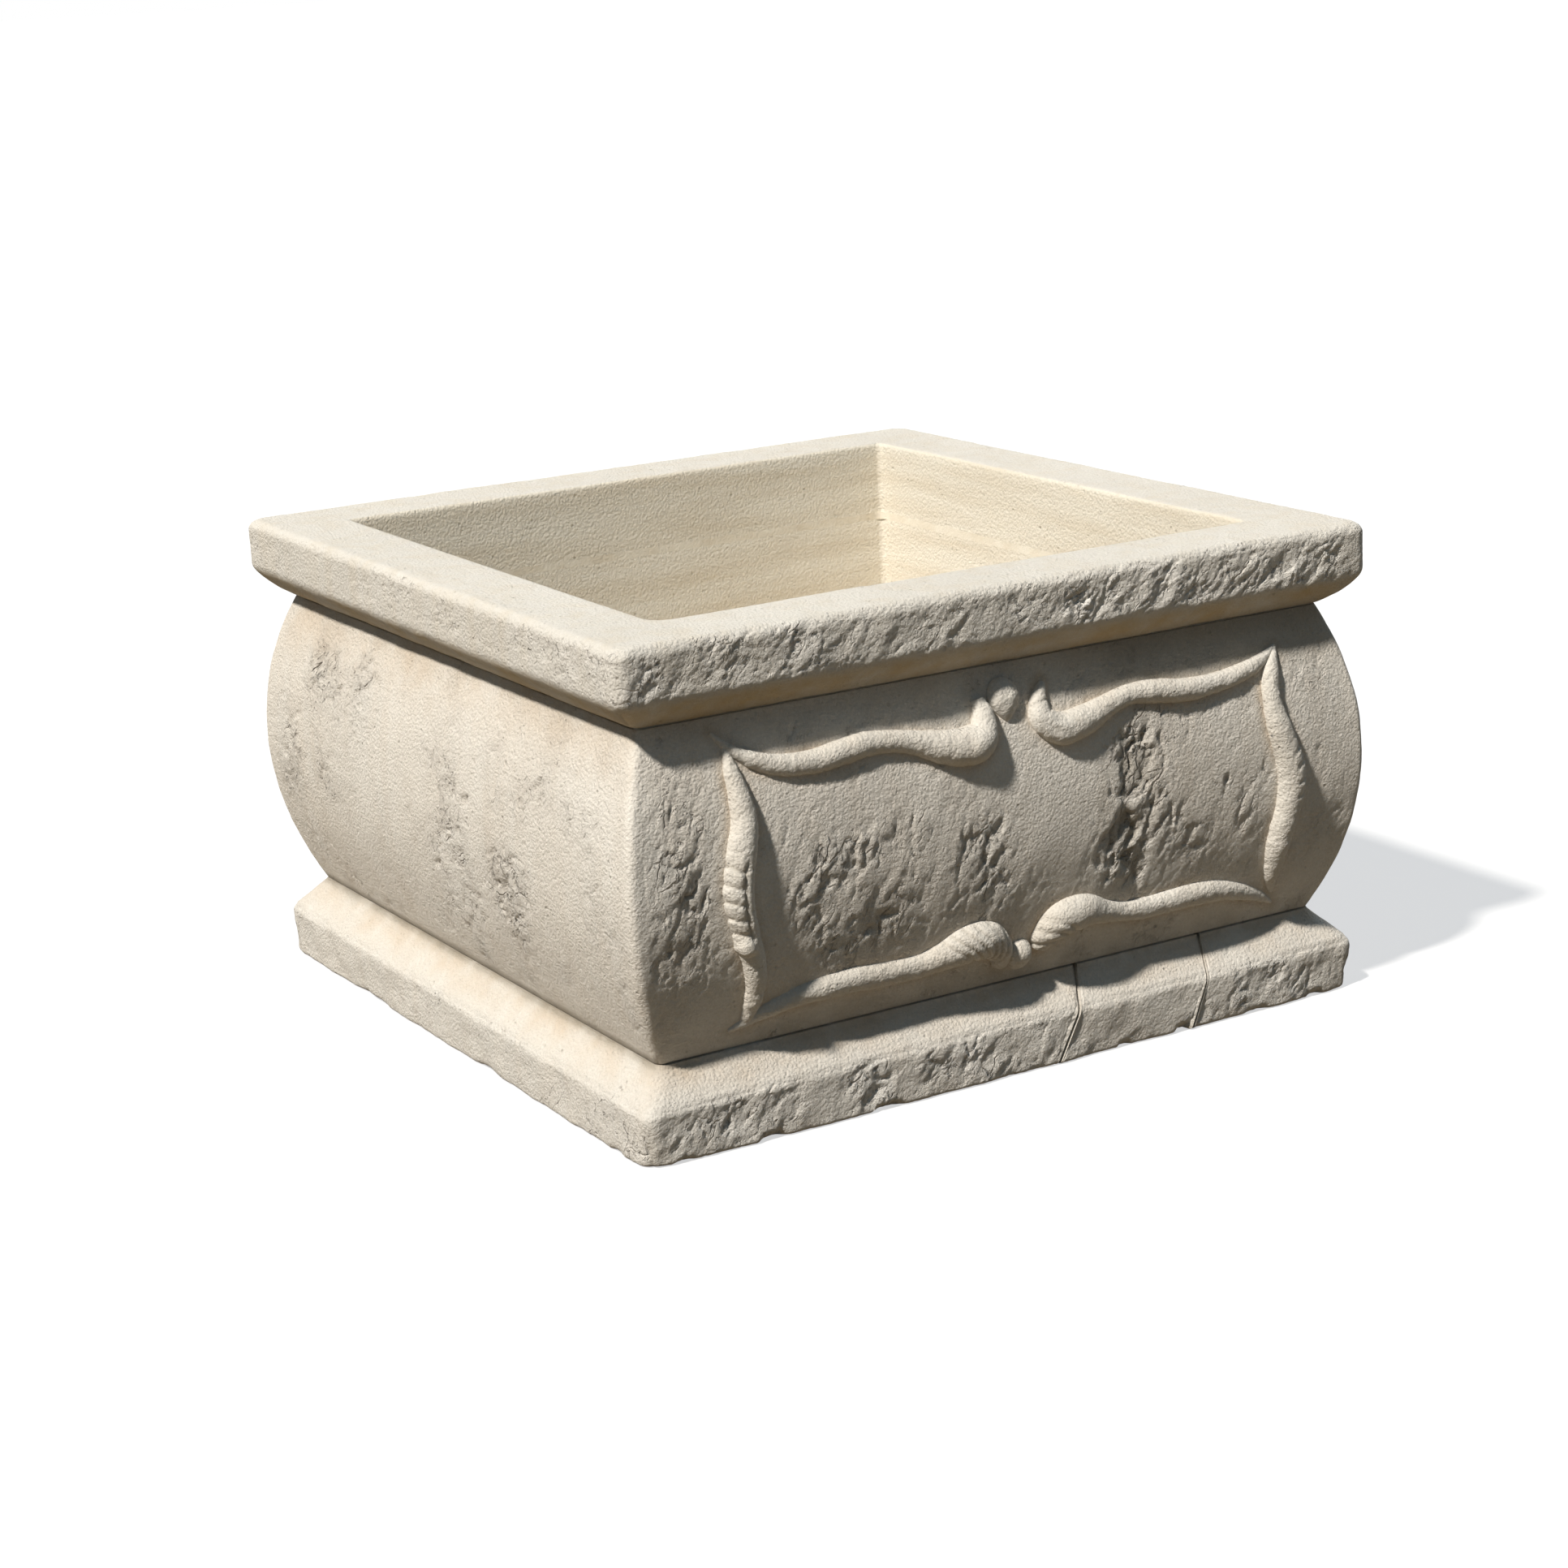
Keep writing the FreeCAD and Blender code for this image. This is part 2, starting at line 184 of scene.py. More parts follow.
def loopPlan(sideCounts, cornerCount):
    # Rounded square walked anticlockwise from the front left corner. A point is half widths times across
    # plus corner radius times inward.
    across, inward, face, turn, corner = [], [], [], [], []
    for k, count in enumerate(sideCounts):
        ahead, outward = np.array(headings[k]), np.array(headings[k - 1])
        w = np.linspace(-1, 1, count)[:, None]
        across.append(outward + ahead * w)
        inward.append(-ahead * w)
        turn.append(k + 0.45 * (1 + w[:, 0]))
        corner.append(np.where(w[:, 0] < 0, (k + 3) % 4, k))
        share = np.linspace(0, 1, cornerCount + 2)[1:-1, None]
        angle = share * math.pi / 2
        across.append(np.repeat([outward + ahead], cornerCount, 0))
        inward.append(outward * np.cos(angle) + ahead * np.sin(angle) - outward - ahead)
        turn.append(k + 0.9 + 0.1 * share[:, 0])
        corner.append(np.full(cornerCount, k))
        face.append(np.full(count, k))
        face.append(np.where(share[:, 0] < 0.5, k, (k + 1) % 4))
    return {
        "across": np.concatenate(across),
        "inward": np.concatenate(inward),
        "face": np.concatenate(face),
        "turn": np.concatenate(turn),
        "corner": np.concatenate(corner),       # front right, back right, back left, front left
    }


def courseGrid(plan, halves, radii, heights, middles=0.0):
    # rows of the same plan at their own half widths, corner radii, heights and middles
    flat = halves[:, None] * plan["across"] + radii[..., None] * plan["inward"]
    flat = flat + np.broadcast_to(middles, (len(heights), 2))[:, None]
    return np.concatenate([flat, np.broadcast_to(heights[:, None, None], flat.shape[:2] + (1,))], -1)


def alongFace(plan, grid):
    # distance of every point along its own face, from the planter's middle
    ahead = np.array(headings)[plan["face"]]
    return (grid[..., :2] * ahead).sum(-1)


def frontOrSide(plan, ofFronts, ofSides):
    # one value on the front and back, another on the two sides
    return np.where(plan["face"] % 2 == 0, ofFronts, ofSides)


def gridNormals(grid, closeRows):
    # cross product of the steps along the columns and up the rows
    alongRow = np.roll(grid, -1, 1) - np.roll(grid, 1, 1)
    if closeRows:
        upRows = np.roll(grid, -1, 0) - np.roll(grid, 1, 0)
    else:
        upRows = np.gradient(grid, axis=0)
    normal = np.cross(alongRow, upRows)
    return normal / np.maximum(np.linalg.norm(normal, axis=-1, keepdims=True), 1e-9)


def gridFaces(rows, columns, closeRows, first=0):
    # quads between neighbouring rows, closed round the columns and, on request, round the rows
    row = np.arange(rows if closeRows else rows - 1)[:, None] * columns
    column = np.arange(columns)[None]
    nextRow = (row + columns) % (rows * columns)
    nextColumn = (column + 1) % columns
    corners = (row + column, row + nextColumn, nextRow + nextColumn, nextRow + column)
    return first + spread(*corners).reshape(-1, 4)


def fanFaces(ring, pole, upwards):
    # triangles from a closed ring of points to one pole
    following = np.roll(ring, -1)
    poles = np.full(len(ring), pole)
    return np.stack((ring, following, poles) if upwards else (following, ring, poles), -1)


def bridgeFaces(lower, upper, count):
    # quads between two rings of the same count, given by their first points
    ring = np.arange(count)
    following = np.roll(ring, -1)
    return np.stack([lower + ring, lower + following, upper + following, upper + ring], -1)


def tubeFaces(rows, count):
    # rows of rings, closed at both ends by the two poles that follow them
    ring = np.arange(count)
    return [
        gridFaces(rows, count, False),
        fanFaces(ring, rows * count, False),
        fanFaces((rows - 1) * count + ring, rows * count + 1, True),
    ]


def zipFaces(fine, fineTurn, coarse, coarseTurn, fineBelow):
    # triangles between a fine and a coarse ring: each fine edge goes to its nearest coarse point, and each
    # coarse edge to the fine point where the nearest one changes
    nearest = np.abs((fineTurn[:, None] - coarseTurn + 2) % 4 - 2).argmin(1)
    following = np.roll(nearest, -1)
    nextFine = np.roll(fine, -1)
    change = nearest != following
    first = np.stack([fine, nextFine, coarse[nearest]], -1)
    second = np.stack([nextFine[change], coarse[following[change]], coarse[nearest[change]]], -1)
    faces = np.concatenate([first, second])
    return faces if fineBelow else faces[:, ::-1]


def putPiece(name, points, faceSets, material, nodes, marks):
    # one mesh from points in millimetres and sets of triangles or quads, with its surface marks
    corners = np.concatenate([faces.ravel() for faces in faceSets])
    sizes = np.concatenate([np.full(len(faces), faces.shape[1]) for faces in faceSets])
    mesh = bpy.data.meshes.new(name)
    mesh.vertices.add(len(points))
    mesh.vertices.foreach_set("co", (points * mm).astype(np.float32).ravel())
    mesh.loops.add(len(corners))
    mesh.loops.foreach_set("vertex_index", corners.astype(np.int32))
    mesh.polygons.add(len(sizes))
    mesh.polygons.foreach_set("loop_start", np.concatenate([[0], np.cumsum(sizes)[:-1]]).astype(np.int32))
    mesh.update(calc_edges=True)
    mesh.shade_smooth()
    mesh.set_sharp_from_angle(angle=math.radians(sharpAngle))
    for mark, values in marks.items():
        layer = mesh.attributes.new(mark, "FLOAT", "POINT")
        layer.data.foreach_set("value", np.asarray(values, np.float32).ravel())
    mesh.materials.append(material)
    piece = bpy.data.objects.new(name, mesh)
    bpy.context.scene.collection.objects.link(piece)
    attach(piece, "root")
    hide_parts(*nodes)
    print("planter:", name, "with", int((sizes - 2).sum()), "triangles")


def nodeBox(*nodes):
    # lowest and highest corner of one or more CAD nodes, in millimetres
    boxes = [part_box(node) for node in nodes]
    low = np.min([np.array(box[0]) for box in boxes], 0) / mm
    high = np.max([np.array(box[1]) for box in boxes], 0) / mm
    return low, high


# Stone finishes

def addNode(tree, kind, inputs=(), **settings):
    # a shader node with its settings and its inputs, which are values or other nodes' sockets
    node = tree.nodes.new(kind)
    for name, value in settings.items():
        setattr(node, name, value)
    for key, value in dict(inputs).items():
        if isinstance(value, bpy.types.NodeSocket):
            tree.links.new(value, node.inputs[key])
        else:
            node.inputs[key].default_value = value
    return node


def blendColour(tree, share, first, second):
    # colour mix; sockets 0, 6 and 7 are the factor and the two colours
    inputs = {0: share, 6: first, 7: second}
    return addNode(tree, "ShaderNodeMix", inputs, data_type="RGBA").outputs[2]


def mapRange(tree, value, low, high, toLow=0.0, toHigh=1.0):
    inputs = {"Value": value, "From Min": low, "From Max": high, "To Min": toLow, "To Max": toHigh}
    return addNode(tree, "ShaderNodeMapRange", inputs).outputs[0]


def noiseValue(tree, vector, scale, detail=4.0, roughness=0.6):
    inputs = {"Vector": vector, "Scale": scale, "Detail": detail, "Roughness": roughness}
    return addNode(tree, "ShaderNodeTexNoise", inputs).outputs[0]


def times(tree, first, second):
    return addNode(tree, "ShaderNodeMath", {0: first, 1: second}, operation="MULTIPLY").outputs[0]


def opaque(colour):
    return (*colour, 1.0)


def markValue(tree, name):
    # a mark that the piece carries on its points
    return addNode(tree, "ShaderNodeAttribute", attribute_name=name).outputs["Fac"]


def scaledPlace(tree, place, scale):
    return addNode(tree, "ShaderNodeMapping", {"Vector": place, "Scale": scale}).outputs[0]


def cellDistance(tree, place, scale, feature="F1"):
    inputs = {"Vector": place, "Scale": scale}
    return addNode(tree, "ShaderNodeTexVoronoi", inputs, feature=feature).outputs["Distance"]


def bumpOver(tree, height, distance, under=None, sunk=True):
    # a bump on top of another one; where it is sunk, high values are pits
    inputs = {"Height": height, "Distance": distance}
    if under is not None:
        inputs["Normal"] = under
    return addNode(tree, "ShaderNodeBump", inputs, invert=sunk).outputs[0]


stoneLook = {
    "body": (0.80, 0.74, 0.655),
    "pale": (0.855, 0.81, 0.735),
    "warm": (0.63, 0.515, 0.39),
    "grime": (0.25, 0.215, 0.16),
    "roughness": 0.9,
    "shine": 0.25,
    # noise to the metre, the range of it that shows and how strongly it shows
    "mottle": 7.0,
    "mottleRange": (0.35, 0.68),
    "cloud": 34.0,
    "cloudRange": (0.38, 0.72),
    "cloudShare": 0.35,
    "streak": (55.0, 55.0, 4.0),
    "streakRange": (0.45, 0.75),
    "streakShare": 0.22,
    "speck": 520.0,
    "speckRange": (0.3, 0.75, 0.0, 0.35),
    "speckShare": 0.5,
    "rust": 26.0,
    "rustRange": (0.3, 0.65),
    "stainShare": 0.65,
    "hollowShare": 0.55,        # how far the hollow mark takes the grime's colour: grime in hollows, and painted shade where the mark carries it
    "freshAndLit": (0.90, 0.855, 0.78),
    "freshAndLitShare": 0.0,          # broken faces are paler than the weathered skin; partly painted light that lifts the rough upright faces
    # inside, the stone is yellower, partly painted warm light bounced round the cavity, with level streaks
    "lining": (0.80, 0.745, 0.635),
    "liningDark": (0.69, 0.61, 0.48),
    "liningStreak": (5.0, 5.0, 60.0),
    "liningRange": (0.4, 0.68),
    "liningShare": 0.85,
    # grain, with heights in metres
    "crumb": 400.0,
    "crumbHeight": 0.0026,
    "crumbRough": (0.0, 0.8, 0.28, 1.0),        # less on smooth faces
    "grain": 950.0,
    "grainHeight": 0.0006,
    "sand": 430.0,
    "sandHeight": 0.0005,
    # pores, in groups
    "pore": 190.0,
    "poreRange": (0.08, 0.3, 1.0, 0.0),
    "poreGroup": 70.0,
    "poreGroupRange": (0.55, 0.7),
    "poreShare": 0.45,
    "poreHeight": 0.0009,
    # small pits drawn out along the lean, on rough faces
    "leanAxis": (-0.707, -0.707, 0.0),
    "leanTurn": 35.0,           # degrees from upright
    "leanStretch": (1.0, 1.0, 0.4),
    "dash": 290.0,
    "dashRange": (0.61, 0.69),
    "dashRough": (0.2, 0.7),
    "dashShare": 0.14,
    "dashHeight": 0.0022,
    # thin broken cracks along the lean, on rough faces
    "crack": 62.0,
    "crackBends": 50.0,
    "crackBend": 0.014,         # metres
    "crackWidth": 0.055,        # share of a plate
    "crackBreaks": 34.0,
    "crackBreakRange": (0.46, 0.6),
    "crackRough": (0.25, 0.7),
    "crackShare": 0.15,
    "crackHeight": 0.0019,
}


def stonePits(tree, place, rough, look):
    # pores are the middles of cells, dashes the crests of a leaning noise, cracks the edges of bent cells
    group = mapRange(tree, noiseValue(tree, place, look["poreGroup"], 3.0), *look["poreGroupRange"])
    pore = mapRange(tree, cellDistance(tree, place, look["pore"]), *look["poreRange"])
    inputs = {"Vector": place, "Axis": look["leanAxis"], "Angle": math.radians(look["leanTurn"])}
    leaning = addNode(tree, "ShaderNodeVectorRotate", inputs, rotation_type="AXIS_ANGLE").outputs[0]
    leaning = scaledPlace(tree, leaning, look["leanStretch"])
    dash = mapRange(tree, noiseValue(tree, leaning, look["dash"], 2.0), *look["dashRange"])
    inputs = {"Vector": place, "Scale": look["crackBends"], "Detail": 4.0}
    bend = addNode(tree, "ShaderNodeTexNoise", inputs).outputs["Color"]
    inputs = {0: bend, 1: (look["crackBend"],) * 3}
    bend = addNode(tree, "ShaderNodeVectorMath", inputs, operation="MULTIPLY").outputs[0]
    bent = addNode(tree, "ShaderNodeVectorMath", {0: leaning, 1: bend}, operation="ADD").outputs[0]
    edges = cellDistance(tree, bent, look["crack"], "DISTANCE_TO_EDGE")
    crack = mapRange(tree, edges, 0.0, look["crackWidth"], 1.0, 0.0)
    breaks = mapRange(tree, noiseValue(tree, place, look["crackBreaks"], 3.0), *look["crackBreakRange"])
    broken = times(tree, breaks, mapRange(tree, rough, *look["crackRough"]))
    return {
        "pore": times(tree, pore, group),
        "dash": times(tree, dash, mapRange(tree, rough, *look["dashRough"])),
        "crack": times(tree, crack, broken),
    }


def stoneColour(tree, place, rough, pits, look):
    # one layer over another: the share of each layer's colour is its noise or mark times a named share
    drawn = scaledPlace(tree, place, look["streak"])
    level = scaledPlace(tree, place, look["liningStreak"])
    mottle = mapRange(tree, noiseValue(tree, place, look["mottle"], 5.0), *look["mottleRange"])
    cloud = mapRange(tree, noiseValue(tree, place, look["cloud"], 6.0, 0.7), *look["cloudRange"])
    streak = mapRange(tree, noiseValue(tree, drawn, 1.0, 5.0), *look["streakRange"])
    speck = mapRange(tree, noiseValue(tree, place, look["speck"], 3.0), *look["speckRange"])
    level = mapRange(tree, noiseValue(tree, level, 1.0, 6.0), *look["liningRange"])
    rust = mapRange(tree, noiseValue(tree, place, look["rust"], 5.0), *look["rustRange"])
    grime, warm = opaque(look["grime"]), opaque(look["warm"])
    layers = [
        (cloud, look["cloudShare"], opaque(look["pale"])),
        (streak, look["streakShare"], warm),
        (speck, look["speckShare"], grime),
        # the lining inside: yellower partly as painted warm bounce light, with level streaks
        (markValue(tree, "lining"), look["liningShare"],
         blendColour(tree, level, opaque(look["lining"]), opaque(look["liningDark"]))),
        # the stain mark: rusty stains, on the rim's underside partly painted warm bounce light
        (times(tree, markValue(tree, "stain"), rust), look["stainShare"], warm),
        # the hollow mark: grime in hollows, dirt, and painted shade under the rim
        (markValue(tree, "hollow"), look["hollowShare"], grime),
        (pits["pore"], look["poreShare"], grime),
        # paler rough faces: broken stone, partly painted light on the upright faces
        (rough, look["freshAndLitShare"], opaque(look["freshAndLit"])),
        (pits["dash"], look["dashShare"], grime),
        (pits["crack"], look["crackShare"], grime),
    ]
    colour = blendColour(tree, mottle, opaque(look["body"]), opaque(look["pale"]))
    for mark, share, over in layers:
        colour = blendColour(tree, times(tree, mark, share), colour, over)
    return colour


def stoneBumps(tree, place, rough, pits, look):
    # crumbs, grain and sand, and then the pits sunk into them
    crumbs = noiseValue(tree, place, look["crumb"], 5.0, 0.7)
    crumbs = times(tree, crumbs, mapRange(tree, rough, *look["crumbRough"]))
    grain = noiseValue(tree, place, look["grain"], 5.0, 0.62)
    bump = bumpOver(tree, crumbs, look["crumbHeight"], sunk=False)
    bump = bumpOver(tree, grain, look["grainHeight"], bump, sunk=False)
    bump = bumpOver(tree, cellDistance(tree, place, look["sand"]), look["sandHeight"], bump)
    for pit, depth in pits.items():
        bump = bumpOver(tree, depth, look[pit + "Height"], bump)
    return bump


def newMaterial(name):
    # material, its node tree, its shader and the coordinates of the piece
    material = bpy.data.materials.new(name)
    material.use_nodes = True
    tree = material.node_tree
    place = addNode(tree, "ShaderNodeTexCoord").outputs["Object"]
    return material, tree, tree.nodes["Principled BSDF"], place


def stoneMaterial(name, look):
    # mottled, streaked and porous cast stone, with grime and painted shade through the hollow mark, and rusty
    # stains that on the rim's underside also paint warm bounce light
    material, tree, shader, place = newMaterial(name)
    rough = markValue(tree, "rough")
    pits = stonePits(tree, place, rough, look)
    tree.links.new(stoneColour(tree, place, rough, pits, look), shader.inputs["Base Color"])
    tree.links.new(stoneBumps(tree, place, rough, pits, look), shader.inputs["Normal"])
    shader.inputs["Roughness"].default_value = look["roughness"]
    shader.inputs["Specular IOR Level"].default_value = look["shine"]
    return material


rimLook = {
    **stoneLook,
    "body": (0.68, 0.64, 0.57),
    "pale": (0.725, 0.685, 0.615),
    # warmer and stronger stain, partly painted warm bounce light on the rim's underside
    "warm": (0.58, 0.435, 0.235),
    "hollowShare": 0.4,
    "stainShare": 0.85,
    "dashShare": 0.12,
    "crumbHeight": 0.0018,
    "crackShare": 0.1,
    "crackHeight": 0.0013,
    # paler broken faces, partly painted light that lifts the rim's rough front and back
    "freshAndLitShare": 1.0,
}
scrollLook = {
    **stoneLook,
    "body": (0.72, 0.665, 0.58),
    "pale": (0.78, 0.74, 0.67),
    "pore": 260.0,
}
flagLook = {
    **stoneLook,
    "body": (0.71, 0.667, 0.60),
    "pale": (0.75, 0.71, 0.643),
    # paler broken faces, partly painted light that lifts the slabs' rough faces
    "freshAndLit": (0.95, 0.905, 0.83),
    "freshAndLitShare": 0.9,
}
bellyFinish = stoneMaterial("cast_stone", stoneLook)
rimFinish = stoneMaterial("rim_stone", rimLook)
scrollFinish = stoneMaterial("scroll_stone", scrollLook)
flagFinish = stoneMaterial("flagstone", flagLook)


# Rim coping

rimLow, rimHigh = nodeBox("rim_coping")
rim = {
    "topWidth": 63.0,
    "overhang": 24.0,
    "faceHeight": 37.5,
    "edgeRadius": 8.0,
    "lipRadius": 4.0,
    "bulge": 1.6,
    "cornerRadius": 11.0,
    "openingRadii": (8.0, 5.0, 5.0, 16.0),     # front right, back right, back left, front left
    "columns": (400, 190, 230, 190),    # front, right, back, left
    "cornerColumns": 9,
    "runs": {"under": 15, "face": 22, "edge": 9, "top": 16, "lip": 4, "inside": 8, "foot": 4},  # rows
    "rubbedRows": (9, 24),              # the foot of the face is rubbed round, so many times
    "rubbings": 6,
    "underRadius": 6.6,                 # corners of the swelling underside
    "underFade": (4.0, -12.0),          # heights from the foot of the face, over which they change
    "faceFade": (-6.0, 3.0),            # the tooling comes in over the foot and goes out over the edge
    "edgeFade": (-7.0, -1.0),
    "raggedFoot": 3.5,                  # the foot of the tooling wanders up and down
    "raggedLength": 30.0,
    "setBack": 1.2,                     # mean depth of the tooling
    "deepest": 7.0,
    "wornLength": 26.0,                 # the corners are rubbed smooth
    "wornShare": 0.35,
    "dirtAndShadeHeights": (9.0, 20.0),         # dirt and painted shade underneath: front and back, and sides
    "dirtAndShadeFade": 9.0,
    "stainAndBounceHeights": (2.0, -8.0),        # stain and painted warm bounce light underneath, from the foot of the face
    "hollowDepths": (2.0, 6.5),
    "hollowShare": 0.5,
    "seed": 40.0,
    "stone": {
        "lean": 40.0,
        "rough": 0.29,
        "patches": 0.42,
        "crackSize": 10.0,
        "crackStretch": 3.2,
        "crackDepth": 1.7,
        "plateSize": 13.0,
        "plateSteps": 4,
        "plateDepth": 2.0,
        "spallDepth": 2.0,
        "waveDepth": 0.8,
        "grainDepth": 0.2,
    },
    "sideShare": 0.55,                  # the sides are tooled less than the front and back
    "zones": {
        0: [(-235, 330, 45, 25, 0, 0.35), (130, 330, 120, 25, 0, 0.5), (-120, 325, 40, 20, 0, 0.3)],
        1: [(60, 330, 120, 25, 0, 0.3)],
        2: [(-150, 330, 100, 25, 0, 0.4), (140, 330, 90, 25, 0, 0.5)],
        3: [(0, 325, 25, 25, 0, 0.5), (230, 330, 60, 25, 0, 0.5)],
    },
}
rimHalf = rimHigh[0]
openingHalf = rimHalf - rim["topWidth"]
neckHalf = rimHalf - rim["overhang"]


def straightRun(start, end, count):
    # points from start up to, but not including, end
    share = np.arange(count)[:, None] / count
    return np.array(start) + share * (np.array(end) - start)


def arcRun(middle, radius, fromDegrees, toDegrees, count):
    angle = np.radians(fromDegrees + (toDegrees - fromDegrees) * np.arange(count) / count)
    return np.array(middle) + radius * np.stack([np.cos(angle), np.sin(angle)], -1)


def swelledRun(start, end, swell, count):
    # chord with a parabola standing on its right-hand side
    share = np.arange(count)[:, None] / count
    chord = np.array(end) - start
    aside = np.array([chord[1], -chord[0]]) / np.hypot(*chord)
    return start + share * chord + 4 * swell * share * (1 - share) * aside


def rimSection():
    # walked from the foot of the swelling underside up, over the top and down inside
    foot, top = rimLow[2], rimHigh[2]
    faceFoot = top - rim["faceHeight"]
    edge, lip, runs = rim["edgeRadius"], rim["lipRadius"], rim["runs"]
    section = np.concatenate([
        swelledRun((neckHalf, foot), (rimHalf, faceFoot), rim["bulge"], runs["under"]),
        straightRun((rimHalf, faceFoot), (rimHalf, top - edge), runs["face"]),
        arcRun((rimHalf - edge, top - edge), edge, 0, 90, runs["edge"]),
        straightRun((rimHalf - edge, top), (openingHalf + lip, top), runs["top"]),
        arcRun((openingHalf + lip, top - lip), lip, 90, 180, runs["lip"]),
        straightRun((openingHalf, top - lip), (openingHalf, foot), runs["inside"]),
        straightRun((openingHalf, foot), (neckHalf, foot), runs["foot"]),
    ])
    first, last = rim["rubbedRows"]
    for _ in range(rim["rubbings"]):
        around = section[first - 1:last - 1] + 2 * section[first:last] + section[first + 1:last + 1]
        section[first:last] = around / 4
    return section


def makeRim():
    # the section carried round a rounded square, with stone relief on its upright face
    foot, faceFoot, lip = rimLow[2], rimHigh[2] - rim["faceHeight"], rim["lipRadius"]
    half, height = rimSection().T
    plan = loopPlan(rim["columns"], rim["cornerColumns"])
    opening = np.array(rim["openingRadii"])[plan["corner"]]
    outward = ((half - openingHalf) / (rimHalf - openingHalf))[:, None]
    radii = opening + outward * (rim["cornerRadius"] - opening)
    underside = ease(*rim["underFade"], height - faceFoot)
    under = np.where(half > openingHalf + lip, underside, 0.0)[:, None]
    radii = radii + under * (rim["underRadius"] - radii)
    grid = courseGrid(plan, np.stack([half, half], -1), radii, height)
    normals = gridNormals(grid, True)
    s = alongFace(plan, grid)
    h = np.broadcast_to(height[:, None], s.shape) + 0.8 * (rimHalf - half)[:, None]
    wander = rim["raggedFoot"] * layeredNoise(spread(s / rim["raggedLength"], 0 * s, 7.0), 3)
    onFace = ease(*rim["faceFade"], height[:, None] - faceFoot - wander)
    onFace = onFace * ease(*rim["edgeFade"], half - rimHalf)[:, None]
    depth, roughness = np.zeros(s.shape), np.zeros(s.shape)
    for k in range(4):
        mine = plan["face"] == k
        share = 1.0 if k in (0, 2) else rim["sideShare"]
        seed = rim["seed"] + tooling["faceSeed"] * k
        relief, rough = stoneRelief(s[:, mine], h[:, mine], seed, rim["stone"], rim["zones"][k])
        depth[:, mine] = share * (relief + rim["setBack"])
        roughness[:, mine] = share * rough
    fromCorner = ease(rimHalf, rimHalf - rim["wornLength"], np.abs(s))
    depth = depth * onFace * (rim["wornShare"] + (1 - rim["wornShare"]) * fromCorner)
    smooth = layeredNoise(grid / 55, 3) + 0.35 * layeredNoise(grid / 9, 2)
    outside = (half > openingHalf + lip / 2)[:, None]
    depth = depth + np.where(outside, 0.5 * (smooth + 0.9) * (1 - 0.6 * onFace), 0.0)
    depth = np.clip(depth, 0.0, rim["deepest"])
    points = grid - depth[..., None] * normals
    # dirt and painted shade under the rim's overhang, reaching higher on the sides
    dirtAndShadeTop = foot + frontOrSide(plan, *rim["dirtAndShadeHeights"])
    dirtAndShade = ease(dirtAndShadeTop, dirtAndShadeTop - rim["dirtAndShadeFade"], height[:, None]) * outside
    marks = {
        "hollow": rim["hollowShare"] * ease(*rim["hollowDepths"], depth) * onFace + dirtAndShade,
        "rough": roughness * onFace,
        # stain under the rim, partly painted warm light thrown up from the floor
        "stain": ease(*rim["stainAndBounceHeights"], height - faceFoot)[:, None] * outside + 0 * s,
        "lining": np.where(outside, 0.0, 1.0) + 0 * s,
    }
    faces = gridFaces(*s.shape, True)
    putPiece("rim", points.reshape(-1, 3), [faces], rimFinish, ["rim_coping"], marks)


makeRim()


# Lines of the scroll ornament on the front face; the back has the same, turned round

